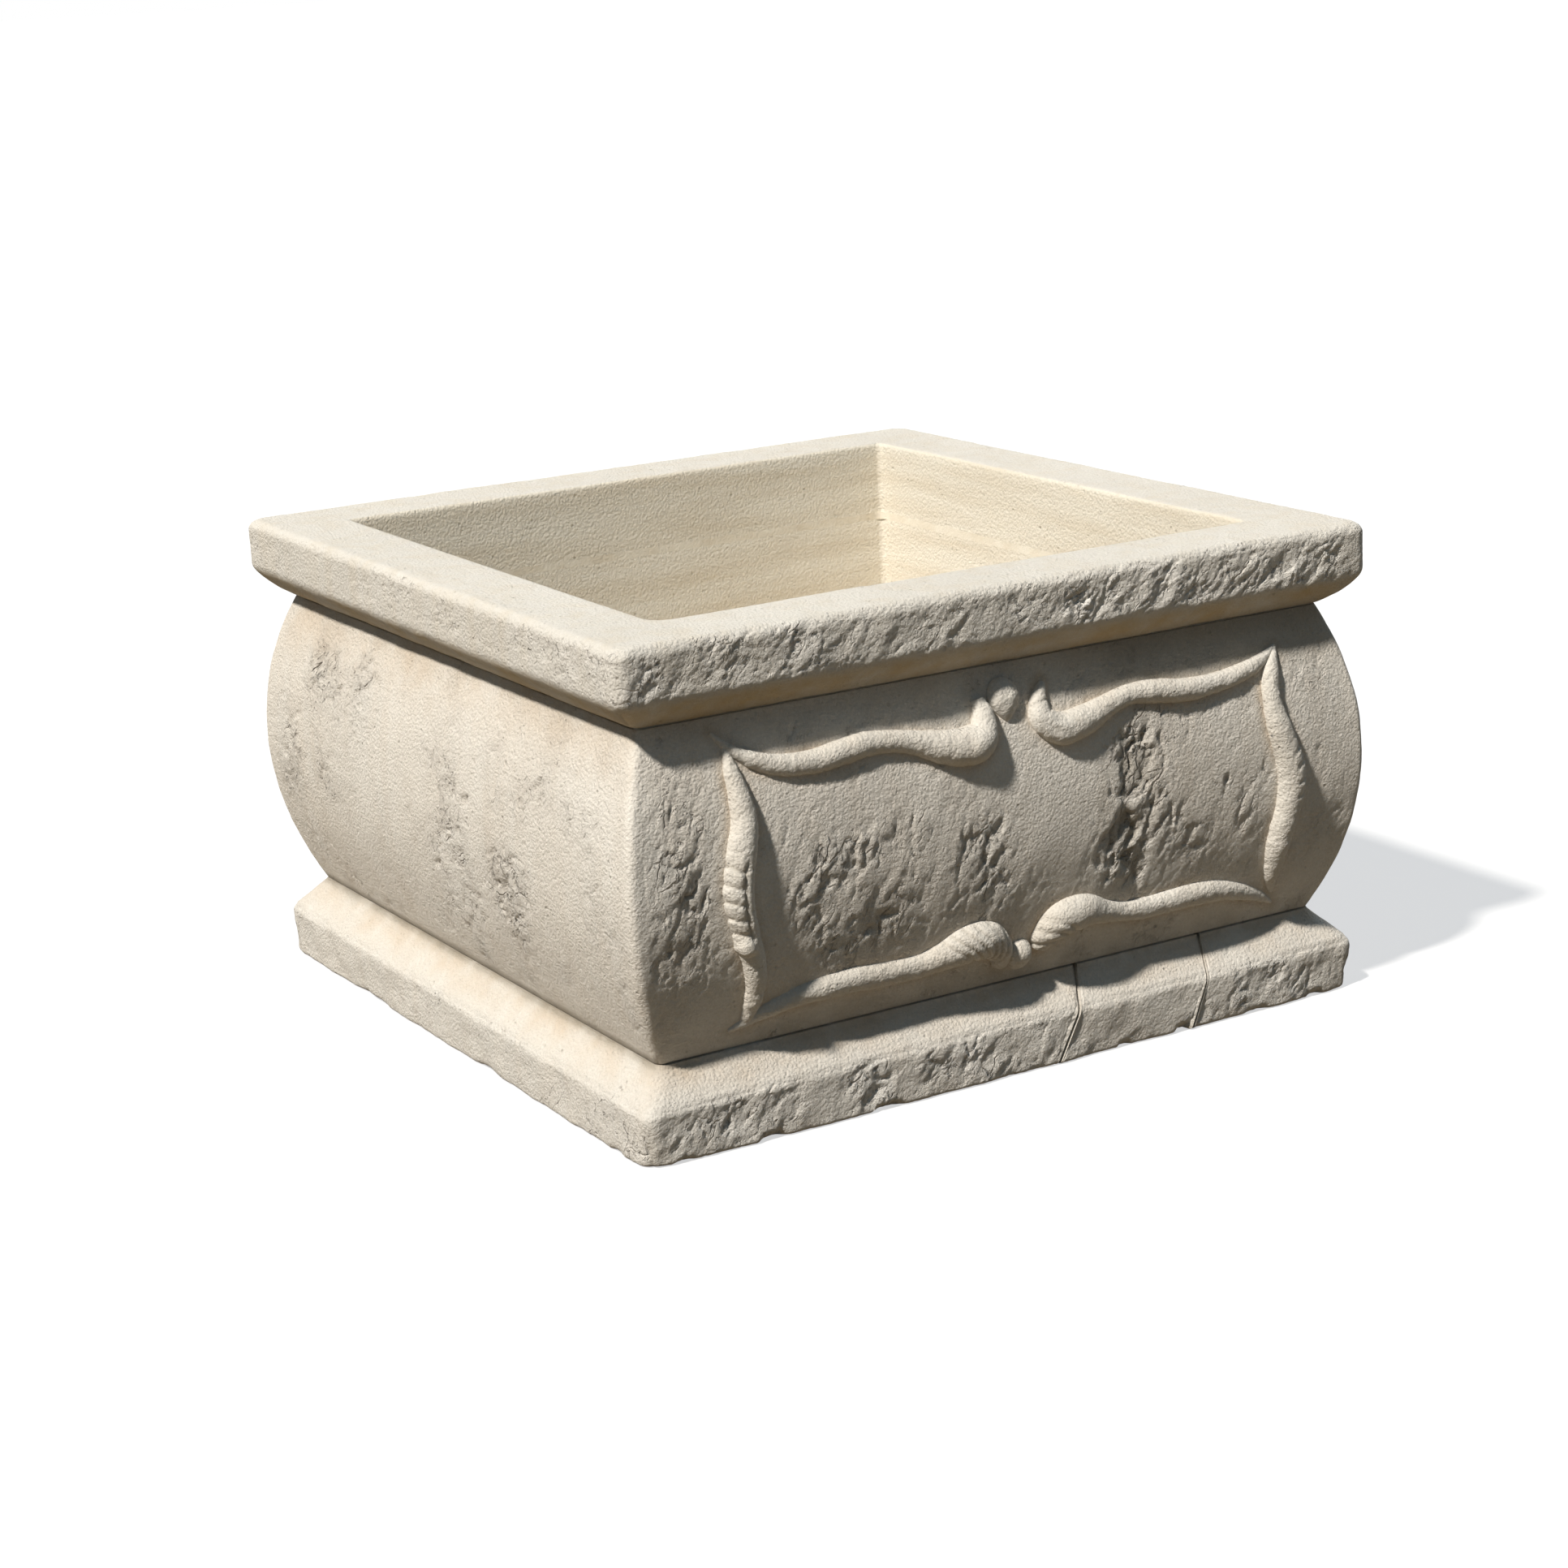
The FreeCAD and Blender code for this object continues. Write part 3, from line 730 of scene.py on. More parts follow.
scrolls = {
    "relief": 0.95,             # height of the crown as a share of the half width
    "bed": 5.0,                 # how deep the underside lies in the wall
    "step": 1.1,                # along the scroll
    "round": 34,                # points round the section
    "peel": 0.36,               # depth and length of the orange-peel skin
    "peelLength": 4.0,
    "unevenness": 0.6,          # depth and length of the hand-made unevenness
    "unevenLength": 17.0,
    "halo": 5.0,                # width of the stain beside a scroll
    # middle line from tail to head: along the face, height, half width
    "top_left": [
        (-228, 280, 1.2), (-215, 267.5, 3.8), (-200, 259, 6), (-181, 253, 7.4), (-157, 251.5, 8),
        (-134, 254, 8.6), (-114, 255.5, 8.4), (-95, 254, 7.6), (-77, 250, 8.6), (-59, 244.5, 11.4),
        (-40, 241.5, 13.4), (-25.5, 247.5, 11.5), (-22, 260, 8), (-24, 270, 5),
    ],
    "top_right": [
        (231, 268, 1.2), (220, 261.5, 3.8), (202, 255, 6.4), (173, 250.5, 7.2), (144, 250, 8.4),
        (117, 253.5, 8.4), (96, 253.5, 7.4), (78, 249.5, 8.2), (59, 243.5, 10.8), (38, 241, 11.5),
        (24, 250, 9.6), (25, 262, 7.0), (30.5, 273, 2.2),
    ],
    "side_left": [
        (-220.5, 271, 1.5), (-219, 257, 5.2), (-216.5, 241, 7.6), (-215.5, 222, 9.4), (-219, 206, 10.6),
        (-223, 191, 10.8), (-224, 175, 11), (-222, 160, 10.2), (-218, 145, 9.4), (-212, 128, 8.4),
        (-209.5, 111, 7.6), (-210, 97, 6.8), (-212.5, 85, 4.2), (-215, 77, 1.4),
    ],
    "side_right": [
        (231, 268, 1.4), (223.5, 252, 6.4), (220, 236, 7.4), (222, 218, 9), (227.5, 200, 10.4),
        (232, 184, 11.4), (233.5, 171, 11.5), (231.5, 154, 11), (227.5, 136, 10.4), (225, 117, 9),
        (225.5, 100, 6.4), (229, 85, 2.4),
    ],
    "bottom_left": [
        (-225, 77, 1.5), (-211, 82, 4), (-193, 88, 6), (-171, 92.5, 7.8), (-154, 94.5, 9.2),
        (-131, 95, 9.5), (-103, 93.5, 9), (-79, 93.5, 9.2), (-61, 97, 11), (-43, 102, 14),
        (-25, 101.5, 14), (-12, 91, 10.4), (-8, 78, 5.6),
    ],
    "bottom_right": [
        (233, 74.5, 1.4), (217, 83.5, 4.4), (197, 91.5, 6.6), (174, 97, 8.4), (153, 98.5, 9.2),
        (131, 98, 9), (109, 97, 8.4), (91, 98.5, 7.4), (75, 102, 8.8), (55, 107, 13),
        (36, 104, 14.2), (25.5, 94.5, 11), (22.5, 85.5, 6.5),
    ],
    # overlapping scales: share of the length to start and end at, count, slant, depth, half they are cut in
    "scales": {
        "side_left": [(0.36, 0.63, 5, -0.3, 1.8, -1)],
        "side_right": [(0.38, 0.60, 4, 0.3, 1.1, 1)],
        "bottom_left": [(0.74, 0.95, 6, 0.9, 1.5, 0)],
        "bottom_right": [(0.85, 0.97, 3, -0.7, 1.4, 0)],
        "top_right": [(0.90, 0.95, 1, -0.5, 0.9, 0)],
        "top_left": [],
    },
    # grooves along a scroll: share of the length to start and end at, place across, half width, depth
    "grooves": {"side_left": [(0.34, 0.68, 0.12, 0.13, 2.2)], "top_right": [(0.80, 0.92, -0.3, 0.14, 1.2)]},
    # lumps: share of the length, place across, radius, height
    "lumps": {"side_left": [(0.66, -0.45, 5.5, 3.2)], "top_left": [(0.87, -0.4, 10.0, 2.0)]},
}
flip = np.array([-1, -1, 1])            # half a turn about the planter's upright axis


def smoothLine(rows, step):
    # Catmull-Rom curve through the rows, walked at a steady step
    rows = np.array(rows, float)
    padded = np.concatenate([[2 * rows[0] - rows[1]], rows, [2 * rows[-1] - rows[-2]]])
    t = np.linspace(0, len(rows) - 1, 40 * len(rows))
    index = np.minimum(t.astype(int), len(rows) - 2)
    u = (t - index)[:, None]
    a, b, c, d = (padded[index + k] for k in range(4))
    square = (2 * a - 5 * b + 4 * c - d) * u ** 2
    cube = (3 * b - a - 3 * c + d) * u ** 3
    fine = 0.5 * (2 * b + (c - a) * u + square + cube)
    length = np.concatenate([[0], np.cumsum(np.hypot(*np.diff(fine[:, :2], axis=0).T))])
    steady = np.linspace(0, length[-1], int(length[-1] / step))
    return np.stack([np.interp(steady, length, column) for column in fine.T], -1), steady


def scrollHalo(s, h):
    # 1 at the edge of a scroll, fading with the distance from it
    halo = np.zeros(s.shape)
    for name in scrolls["scales"]:
        for x, height, half in smoothLine(scrolls[name], 4.0)[0]:
            away = np.hypot(s - x, h - height) - half
            halo = np.maximum(halo, np.exp(-(away.clip(0) / scrolls["halo"]) ** 2))
    return halo


# Belly

bellyLow, bellyHigh = nodeBox("belly")
plinthLow, plinthHigh = nodeBox("plinth_slab_left", "plinth_slab_middle", "plinth_slab_right")
belly = {
    "footStep": 24.0,                   # the plinth stands out so far from the belly's foot
    "topLip": 4.6,                      # the wall covers most of the raked joints above and below it
    "footLip": 3.0,
    "cornerRadius": 6.0,
    "floor": 45.0,
    "floorFillet": 6.0,
    "filletPoint": (1.5, 2.0),          # in from the wall and up from the floor
    "floorRings": (200, 150, 100, 60, 35),
    "seatRadius": 20.1,
    "seatDepth": 4.0,
    "drainRadius": 13.1,
    "columns": (360, 90, 140, 220),
    "cornerColumns": 6,
    "rows": 108,
    "innerRows": 30,
    "innerColumns": (40, 40, 40, 40),
    "innerCornerColumns": 6,
    "stone": {
        "lean": 60.0,
        "rough": 0.12,
        "patches": 0.32,
        "crackSize": 12.0,
        "crackStretch": 2.6,
        "crackDepth": 2.7,
        "plateSize": 19.0,
        "plateSteps": 5,
        "plateDepth": 1.6,
        "spallDepth": 2.4,
        "waveDepth": 0.7,
        "grainDepth": 0.2,
    },
    "zones": {
        0: [
            (-265, 165, 26, 62, 0, 0.65),
            (-105, 165, 95, 58, 0, 0.3),
            (-130, 182, 42, 34, 0, 0.44),
            (-95, 136, 70, 28, 0, 0.52),
            (-38, 165, 36, 42, 0, 0.45),
            (98, 206, 27, 33, 0, 1.25),
            (94, 150, 34, 38, 0, 1.25),
            (135, 222, 36, 10, 30, 0.9),
        ],
        1: [(-120, 190, 60, 50, 0, 0.4), (90, 150, 50, 60, 20, 0.45)],
        2: [(-110, 170, 60, 50, 0, 0.8), (60, 200, 45, 40, 0, 0.7), (240, 150, 40, 60, 0, 0.8)],
        3: [
            (-185, 225, 30, 60, 0, 1.0),
            (-120, 235, 26, 50, 0, 0.8),
            (35, 165, 26, 70, 0, 1.3),
            (115, 145, 34, 36, 20, 1.25),
            (-255, 165, 25, 60, 0, 0.9),
            (180, 230, 50, 35, 0, 0.5),
        ],
    },
    "spalls": {
        0: [
            (96, 205, 20, 28, -10, 1.0),
            (92, 150, 28, 32, 0, 1.0),
            (-108, 142, 24, 13, 30, 0.6),
            (-135, 183, 9, 13, 0, 0.64),
            (-163, 190, 7, 9, 0, 0.6),
            (176, 181, 4, 5, 0, 0.5),
        ],
        1: [(95, 150, 9, 5, 40, 0.7)],
        2: [(-105, 165, 22, 26, 10, 0.9), (70, 200, 12, 14, 0, 0.75)],
        3: [(5, 142, 8, 4, 30, 0.75), (118, 154, 12, 5, 40, 0.75), (60, 200, 8, 4, 40, 0.7)],
    },
    "calm": {
        0: [(35, 180, 30, 90, 0, 0.85)],
        1: [(200, 180, 60, 90, 0, 0.6)],
        2: [],
        3: [(-80, 150, 60, 60, 0, 0.5)],
    },
    "wornLengths": (2.0, 16.0),         # the relief fades towards the corners
    "endFade": 6.0,                     # and towards neck and foot
    "proudest": 0.9,
    "deepest": 8.0,
}
bellyDirtAndShade = {
    "rimReach": (45.0, 4.0),            # stain below the rim, much less of it on the front
    "rimFront": 0.1,
    # painted shade under the rim, all round the neck
    "paintedNeckShade": 0.35,
    "paintedNeckShadeReach": 14.0,
    "paintedRimShadow": 0.8,                        # painted shadow under the rim, towards the right end of the front
    "paintedRimShadowReach": (36.0, 20.0),
    "paintedRimShadowPlaces": (10.0, 130.0),
    "seam": 1.1,                        # dirt line above the plinth on the sides
    "seamReach": 5.0,
    "splash": (0.45, 0.22),             # front and back, and sides
    "splashReach": 22.0,
    "hollowDepths": (1.2, 5.0),
    "hollowShares": (1.0, 0.2),
    "roughShares": (1.0, 0.65),
    "haloGrime": 0.12,
    "haloStain": 1.5,
    "soilReach": 45.0,                  # inside, up from the floor
}
footHalf = plinthHigh[0] - belly["footStep"]
floorHeight = bellyLow[2] + belly["floor"]


def circleThrough(first, second, third):
    # middle and radius: the middle is as far from the second and third point as from the first
    first, second, third = np.array(first), np.array(second), np.array(third)
    rows = 2 * np.array([second - first, third - first])
    sums = [(second ** 2 - first ** 2).sum(), (third ** 2 - first ** 2).sum()]
    middle = np.linalg.solve(rows, sums)
    return middle, np.hypot(*(first - middle))


bowMiddle, bowRadius = circleThrough(
    (footHalf, bellyLow[2]),
    (bellyHigh[0], (bellyLow[2] + bellyHigh[2]) / 2),
    (neckHalf, bellyHigh[2]),
)


def wallHalf(height):
    # half width of the bowed wall at a height
    return bowMiddle[0] + np.sqrt(bowRadius ** 2 - (height - bowMiddle[1]) ** 2)


def bellyInside():
    # half width, roundness and height of the rows from the neck down to the foot, through the drain hole
    hole, seat = belly["drainRadius"], belly["seatRadius"]
    seatHeight = floorHeight - belly["seatDepth"]
    fillet = belly["floorFillet"]
    aside, above = belly["filletPoint"]
    wallHeights = np.linspace(bellyHigh[2], floorHeight + fillet, belly["innerRows"])
    rows = np.array([
        *[(openingHalf, 0, z) for z in wallHeights],
        (openingHalf - aside, 0, floorHeight + above),
        (openingHalf - fillet, 0, floorHeight),
        *[(r, 1 - (r - seat) / openingHalf, floorHeight) for r in (*belly["floorRings"], seat)],
        (seat, 1, seatHeight),
        (hole, 1, seatHeight),
        (hole, 1, bellyLow[2]),
    ])
    plan = loopPlan(belly["innerColumns"], belly["innerCornerColumns"])
    opening = np.array(rim["openingRadii"])[plan["corner"]]
    radii = opening + rows[:, 1:2] * (rows[:, :1] - opening)
    return plan, courseGrid(plan, rows[:, [0, 0]], radii, rows[:, 2])


def bellyMarks(plan, outer, s, h, depth, roughness):
    # grime in hollows and splashes, painted shade and painted shadow under the rim, and stains under the rim
    # and beside the scrolls
    neck, foot, dirtAndShade = bellyHigh[2], bellyLow[2], bellyDirtAndShade
    onFront = plan["face"] == 0
    stainLow, stainHigh = dirtAndShade["rimReach"]
    underRim = ease(neck - stainLow, neck - stainHigh, h) * np.where(onFront, dirtAndShade["rimFront"], 1.0)
    # painted shadow of the rim, reaching lower towards the right end of the front
    shadowLow, shadowHigh = dirtAndShade["paintedRimShadowReach"]
    rimShadowMask = ease(neck - shadowLow, neck - shadowHigh, h) * ease(*dirtAndShade["paintedRimShadowPlaces"], s) * onFront
    seam = ease(foot + dirtAndShade["seamReach"], foot - 2, h) * frontOrSide(plan, 0.0, 1.0)
    # painted shade all round the neck and painted shadow towards the right end of the front, with the dirt
    # line at the foot on the sides
    paintedShadeAndSeam = dirtAndShade["paintedNeckShade"] * ease(neck - dirtAndShade["paintedNeckShadeReach"], neck + 2, h)
    paintedShadeAndSeam = paintedShadeAndSeam + dirtAndShade["paintedRimShadow"] * rimShadowMask + dirtAndShade["seam"] * seam
    halo = scrollHalo(s, h) * frontOrSide(plan, 1.0, 0.0) * (0.7 + 0.6 * layeredNoise(outer / 40, 2))
    splashed = ease(foot + dirtAndShade["splashReach"], foot, h) * (1 + layeredNoise(outer / 30, 2))
    splashed = splashed * frontOrSide(plan, *dirtAndShade["splash"])
    hollow = ease(*dirtAndShade["hollowDepths"], depth) * frontOrSide(plan, *dirtAndShade["hollowShares"])
    return {
        "hollow": hollow + splashed + paintedShadeAndSeam + dirtAndShade["haloGrime"] * halo,
        "stain": underRim + dirtAndShade["haloStain"] * halo,
        "rough": roughness * frontOrSide(plan, *dirtAndShade["roughShares"]),
        "lining": 0 * s,
    }


def makeBelly():
    # bowed outside on a fine grid, cavity, floor and drain hole on a coarse one, zipped at neck and foot
    height = np.linspace(bellyLow[2] - belly["footLip"], bellyHigh[2] + belly["topLip"], belly["rows"])
    half = wallHalf(height)
    plan = loopPlan(belly["columns"], belly["cornerColumns"])
    radii = np.full((len(height), len(plan["face"])), belly["cornerRadius"])
    smooth = courseGrid(plan, np.stack([half, half], -1), radii, height)
    s = alongFace(plan, smooth)
    h = np.broadcast_to(height[:, None], s.shape)
    depth, roughness = np.zeros(s.shape), np.zeros(s.shape)
    for k in range(4):
        mine = plan["face"] == k
        depth[:, mine], roughness[:, mine] = stoneRelief(
            s[:, mine], h[:, mine], tooling["faceSeed"] * k, belly["stone"],
            belly["zones"][k], belly["spalls"][k], belly["calm"][k])
    wornEnd, wornStart = belly["wornLengths"]
    worn = ease(half[:, None] - wornEnd, half[:, None] - wornStart, np.abs(s))
    fade = belly["endFade"]
    ends = ease(bellyLow[2], bellyLow[2] + fade, h) * ease(bellyHigh[2], bellyHigh[2] - fade, h)
    corner = 0.5 * layeredNoise(smooth / 24, 3)
    depth = np.clip(depth * worn + corner * (1 - worn), -belly["proudest"], belly["deepest"]) * ends
    outer = smooth - depth[..., None] * gridNormals(smooth, False)
    innerPlan, inner = bellyInside()
    fineCount, coarseCount = outer.shape[1], inner.shape[1]
    firstInner = outer.shape[0] * fineCount
    lastInner = firstInner + (len(inner) - 1) * coarseCount
    fineRing, coarseRing = np.arange(fineCount), np.arange(coarseCount)
    faces = [
        gridFaces(*outer.shape[:2], False),
        gridFaces(*inner.shape[:2], False, firstInner),
        zipFaces(firstInner - fineCount + fineRing, plan["turn"],
                 firstInner + coarseRing, innerPlan["turn"], True),
        zipFaces(fineRing, plan["turn"], lastInner + coarseRing, innerPlan["turn"], False),
    ]
    marks = bellyMarks(plan, outer, s, h, depth, roughness * worn)
    soiled = ease(floorHeight + bellyDirtAndShade["soilReach"], floorHeight, inner[..., 2])
    soiled = soiled * (0.4 + 0.4 * layeredNoise(inner / 60, 3))
    none = 0 * soiled
    inside = {"hollow": soiled, "stain": none, "rough": none, "lining": none + 1}
    marks = {mark: np.append(values, inside[mark]) for mark, values in marks.items()}
    points = np.concatenate([outer.reshape(-1, 3), inner.reshape(-1, 3)])
    putPiece("belly_casting", points, faces, bellyFinish, ["belly"], marks)


makeBelly()


# Plinth of three flagstones

plinth = {
    "faceHeight": 36.0,
    "arrisRadius": 9.0,
    "cornerRadius": 12.0,
    "jointRadii": ((5.0, 2.5), (3.0, 2.5)),         # arrises left and right of each joint
    "footRadius": 3.0,
    "cornerWear": 6.0,
    "jointWidth": 1.0,                  # at the face; the mortar behind is wider
    "joints": ((30.0, 62.0), (147.0, 171.0)),       # foot and head of each leaning joint, along the front
    "drainRadius": 13.1,
    "stone": {
        "lean": 50.0,
        "rough": 0.10,
        "patches": 0.25,
        "crackSize": 12.0,
        "crackStretch": 2.4,
        "crackDepth": 1.9,
        "plateSize": 15.0,
        "plateSteps": 4,
        "plateDepth": 1.8,
        "spallDepth": 2.0,
        "waveDepth": 1.3,
        "grainDepth": 0.18,
    },
    "zones": {
        0: [
            (-235, 16, 38, 18, 0, 0.5),
            (-125, 20, 20, 22, 0, 0.7),
            (-50, 26, 45, 14, 10, 0.7),
            (-10, 8, 60, 12, 0, 0.4),
            (225, 20, 45, 18, 0, 0.9),
            (155, 12, 16, 14, 30, 0.8),
        ],
        1: [(-100, 20, 60, 18, 0, 0.6), (150, 18, 60, 18, 0, 0.6)],
        2: [(-200, 18, 60, 18, 0, 0.8), (30, 22, 60, 18, 0, 0.7), (220, 18, 50, 18, 0, 0.7)],
        3: [(-80, 18, 60, 16, 0, 0.25), (250, 18, 35, 18, 0, 0.6)],
    },
    "chips": {                          # bites in the lower edge: place along the face, half length, depth
        0: [
            (-270, 12, 3), (-203, 15, 5), (-112, 19, 5), (88, 9, 4),
            (141, 12, 6), (206, 16, 4), (262, 10, 5),
        ],
        1: [(-210, 20, 4), (-40, 14, 5), (120, 22, 4), (250, 12, 5)],
        2: [(-240, 16, 5), (-70, 22, 4), (90, 14, 5), (210, 18, 5)],
        3: [(-140, 40, 3), (60, 30, 3), (255, 14, 3)],
    },
    "runs": {"foot": 4, "face": 17, "arris": 6, "slope": 15},       # rows
    "cornerColumns": 5,
    "sideShare": 0.6,                   # the sides are tooled less than the front and back
    "slopeShare": 0.45,                 # and the slope less than the faces
    "setBack": 1.6,                     # mean depth of the tooling
    "deepest": 9.0,
    "knockedLength": 26.0,              # outer corners are knocked off, most at the foot
    "knockedHeight": 34.0,
    "hollowDepths": (2.0, 7.0),
    "jointGrime": 0.5,
    "mostStain": 1.3,
    "splash": 0.45,                     # dirt below the belly
    "splashReach": 9.0,
    "seam": 0.8,                        # dirt line on the sides
    "seamReach": 4.0,
    "seed": 80.0,
}


def jointAt(joint, height):
    # place of a leaning joint at a height
    foot, head = joint
    return foot + (head - foot) * height / plinthHigh[2]


def slabSection():
    # walked out along the underside, up the face, over the arris, up the slope and in along the top
    outerHalf, top = plinthHigh[0], plinthHigh[2]
    radius, foot, runs = plinth["arrisRadius"], plinth["footRadius"], plinth["runs"]
    arris = np.array([outerHalf, plinth["faceHeight"]])
    slope = np.array([footHalf, top]) - arris
    bend = math.radians(90 - math.degrees(math.atan2(slope[1], -slope[0])))
    reach = radius * math.tan(bend / 2)
    slopeStart = arris + slope / np.hypot(*slope) * reach
    return np.concatenate([
        [(outerHalf - foot, 0)],
        arcRun((outerHalf - foot, foot), foot, -80, 0, runs["foot"]),
        straightRun((outerHalf, foot), (outerHalf, arris[1] - reach), runs["face"]),
        arcRun((outerHalf - radius, arris[1] - reach), radius, 0, math.degrees(bend), runs["arris"]),
        straightRun(slopeStart, (footHalf, top), runs["slope"]),
        [(footHalf, top)],
    ])


def slabRelief(plan, grid, s, h, inJoint):
    # stone relief and bites on the outer faces, and a faint waviness in the joints
    depth, roughness = np.zeros(s.shape), np.zeros(s.shape)
    for k in range(4):
        mine = plan["face"] == k
        if k in inJoint:
            depth[:, mine] = 0.1 + 0.3 * layeredNoise(grid[:, mine] / 18, 3)
            continue
        along, up = s[:, mine], h[:, mine]
        seed = plinth["seed"] + tooling["faceSeed"] * k
        relief, roughness[:, mine] = stoneRelief(along, up, seed, plinth["stone"], plinth["zones"][k])
        share = 1.0 if k in (0, 2) else plinth["sideShare"]
        ragged = 0.5 + 0.5 * layeredNoise(spread(along / 9, 0 * along, 90 + k), 2)
        bites = sum(
            deep * ease(1.0, 0.4, np.abs(along - place) / long + 0.3 * ragged) * ease(deep + 4, 1, up)
            for place, long, deep in plinth["chips"][k])
        depth[:, mine] = share * (relief + plinth["setBack"]) + bites
    return depth, roughness


def makeSlab(name, node, leftIndex, rightIndex, columns, holed):
    # The section carried round a rounded rectangle. The outer sides follow the section, the joint sides lean
    # with their joints.
    outerHalf, top = plinthHigh[0], plinthHigh[2]
    section = slabSection()
    out, height = section.T
    gap = plinth["jointWidth"] / 2
    low, high = -out, out
    lowRadius = highRadius = plinth["cornerRadius"]
    inJoint = []
    if leftIndex is not None:
        low = jointAt(plinth["joints"][leftIndex], height) + gap
        lowRadius = plinth["jointRadii"][leftIndex][1]
        inJoint.append(3)
    if rightIndex is not None:
        high = jointAt(plinth["joints"][rightIndex], height) - gap
        highRadius = plinth["jointRadii"][rightIndex][0]
        inJoint.append(1)
    plan = loopPlan(columns, plinth["cornerColumns"])
    corner = np.where(plan["across"][:, 0] < 0, lowRadius, highRadius)
    halves = np.stack([(high - low) / 2, out], -1)
    middles = np.stack([(low + high) / 2, 0 * out], -1)
    grid = courseGrid(plan, halves, np.repeat(corner[None], len(height), 0), height, middles)
    normals = gridNormals(grid, False)
    firstUpright = plinth["runs"]["foot"] + 2
    normals[:firstUpright] = normals[firstUpright]      # the foot is worn back level, not curled under
    s = alongFace(plan, grid)
    length = np.concatenate([[0], np.cumsum(np.hypot(*np.diff(section, axis=0).T))])
    h = np.broadcast_to(length[:, None], s.shape)
    depth, roughness = slabRelief(plan, grid, s, h, inJoint)
    jointed = np.isin(plan["face"], inJoint) * 1.0
    slopeFoot = plinth["faceHeight"]
    slopeShare = np.where(height > slopeFoot + 3, plinth["slopeShare"], 1.0)[:, None]
    rounded = layeredNoise(grid / 26, 3)
    splashed = plinth["splash"] * ease(top - plinth["splashReach"], top, height)[:, None] * (1 + rounded)
    seam = plinth["seam"] * ease(top - plinth["seamReach"], top, height)[:, None]
    splashed = splashed + seam * frontOrSide(plan, 0.0, 1.0)
    toCorner = ease(outerHalf - plinth["knockedLength"], outerHalf, np.abs(grid[..., :2]).min(-1))
    knocked = plinth["cornerWear"] * toCorner * ease(plinth["knockedHeight"], 0, h)
    worn = slopeShare * (rounded + 0.5) + knocked * (1 + 0.5 * rounded)
    depth = depth * slopeShare + (1 - jointed) * worn
    depth = np.clip(depth, 0.0, plinth["deepest"]) * np.where(height >= top - 0.01, 0.0, 1.0)[:, None]
    points = grid - depth[..., None] * normals
    points[..., 2] = np.clip(points[..., 2], 0, top)
    hollow = ease(*plinth["hollowDepths"], depth)
    onSlope = ease(slopeFoot, top - 4, height)[:, None]
    marks = {
        "hollow": hollow * (1 - jointed) + plinth["jointGrime"] * jointed + splashed,
        "rough": roughness * slopeShare,
        "stain": np.clip(onSlope * (1.0 + 0.9 * rounded), 0, plinth["mostStain"]),
    }
    rows, count = s.shape
    first = rows * count
    if holed:
        hole = plinth["drainRadius"]
        ends = courseGrid(plan, np.full((2, 2), hole), np.full((2, count), hole), np.array([top, 0.0]))
        faces = [
            gridFaces(rows, count, False),
            gridFaces(2, count, False, first),
            bridgeFaces(first - count, first, count),
            bridgeFaces(first + count, 0, count),
        ]
    else:
        ends = np.array([[middles[0, 0], 0, 0], [middles[-1, 0], 0, top]])
        faces = tubeFaces(rows, count)
    ends = ends.reshape(-1, 3)
    points = np.concatenate([points.reshape(-1, 3), ends])
    marks = {mark: np.append(values, np.zeros(len(ends))) for mark, values in marks.items()}
    putPiece(name, points, faces, flagFinish, [node], marks)


makeSlab("left_flagstone", "plinth_slab_left", None, 0, (190, 60, 150, 190), True)
makeSlab("middle_flagstone", "plinth_slab_middle", 0, 1, (64, 60, 56, 60), False)
makeSlab("right_flagstone", "plinth_slab_right", 1, None, (78, 190, 66, 60), False)


# Scroll ornament

def onWall(x, height):
    # point and outward direction of the front wall
    lean = np.arcsin((height - bowMiddle[1]) / bowRadius)
    return spread(x, -wallHalf(height), height), spread(0 * x, -np.cos(lean), np.sin(lean))


def putFrontAndBack(name, points, faces, marks):
    # the back has the same ornament, turned half round
    for face, turn in (("front", 1), ("back", flip)):
        node = face + "_" + name
        putPiece(node + "_stone", points * turn, faces, scrollFinish, [node], marks)


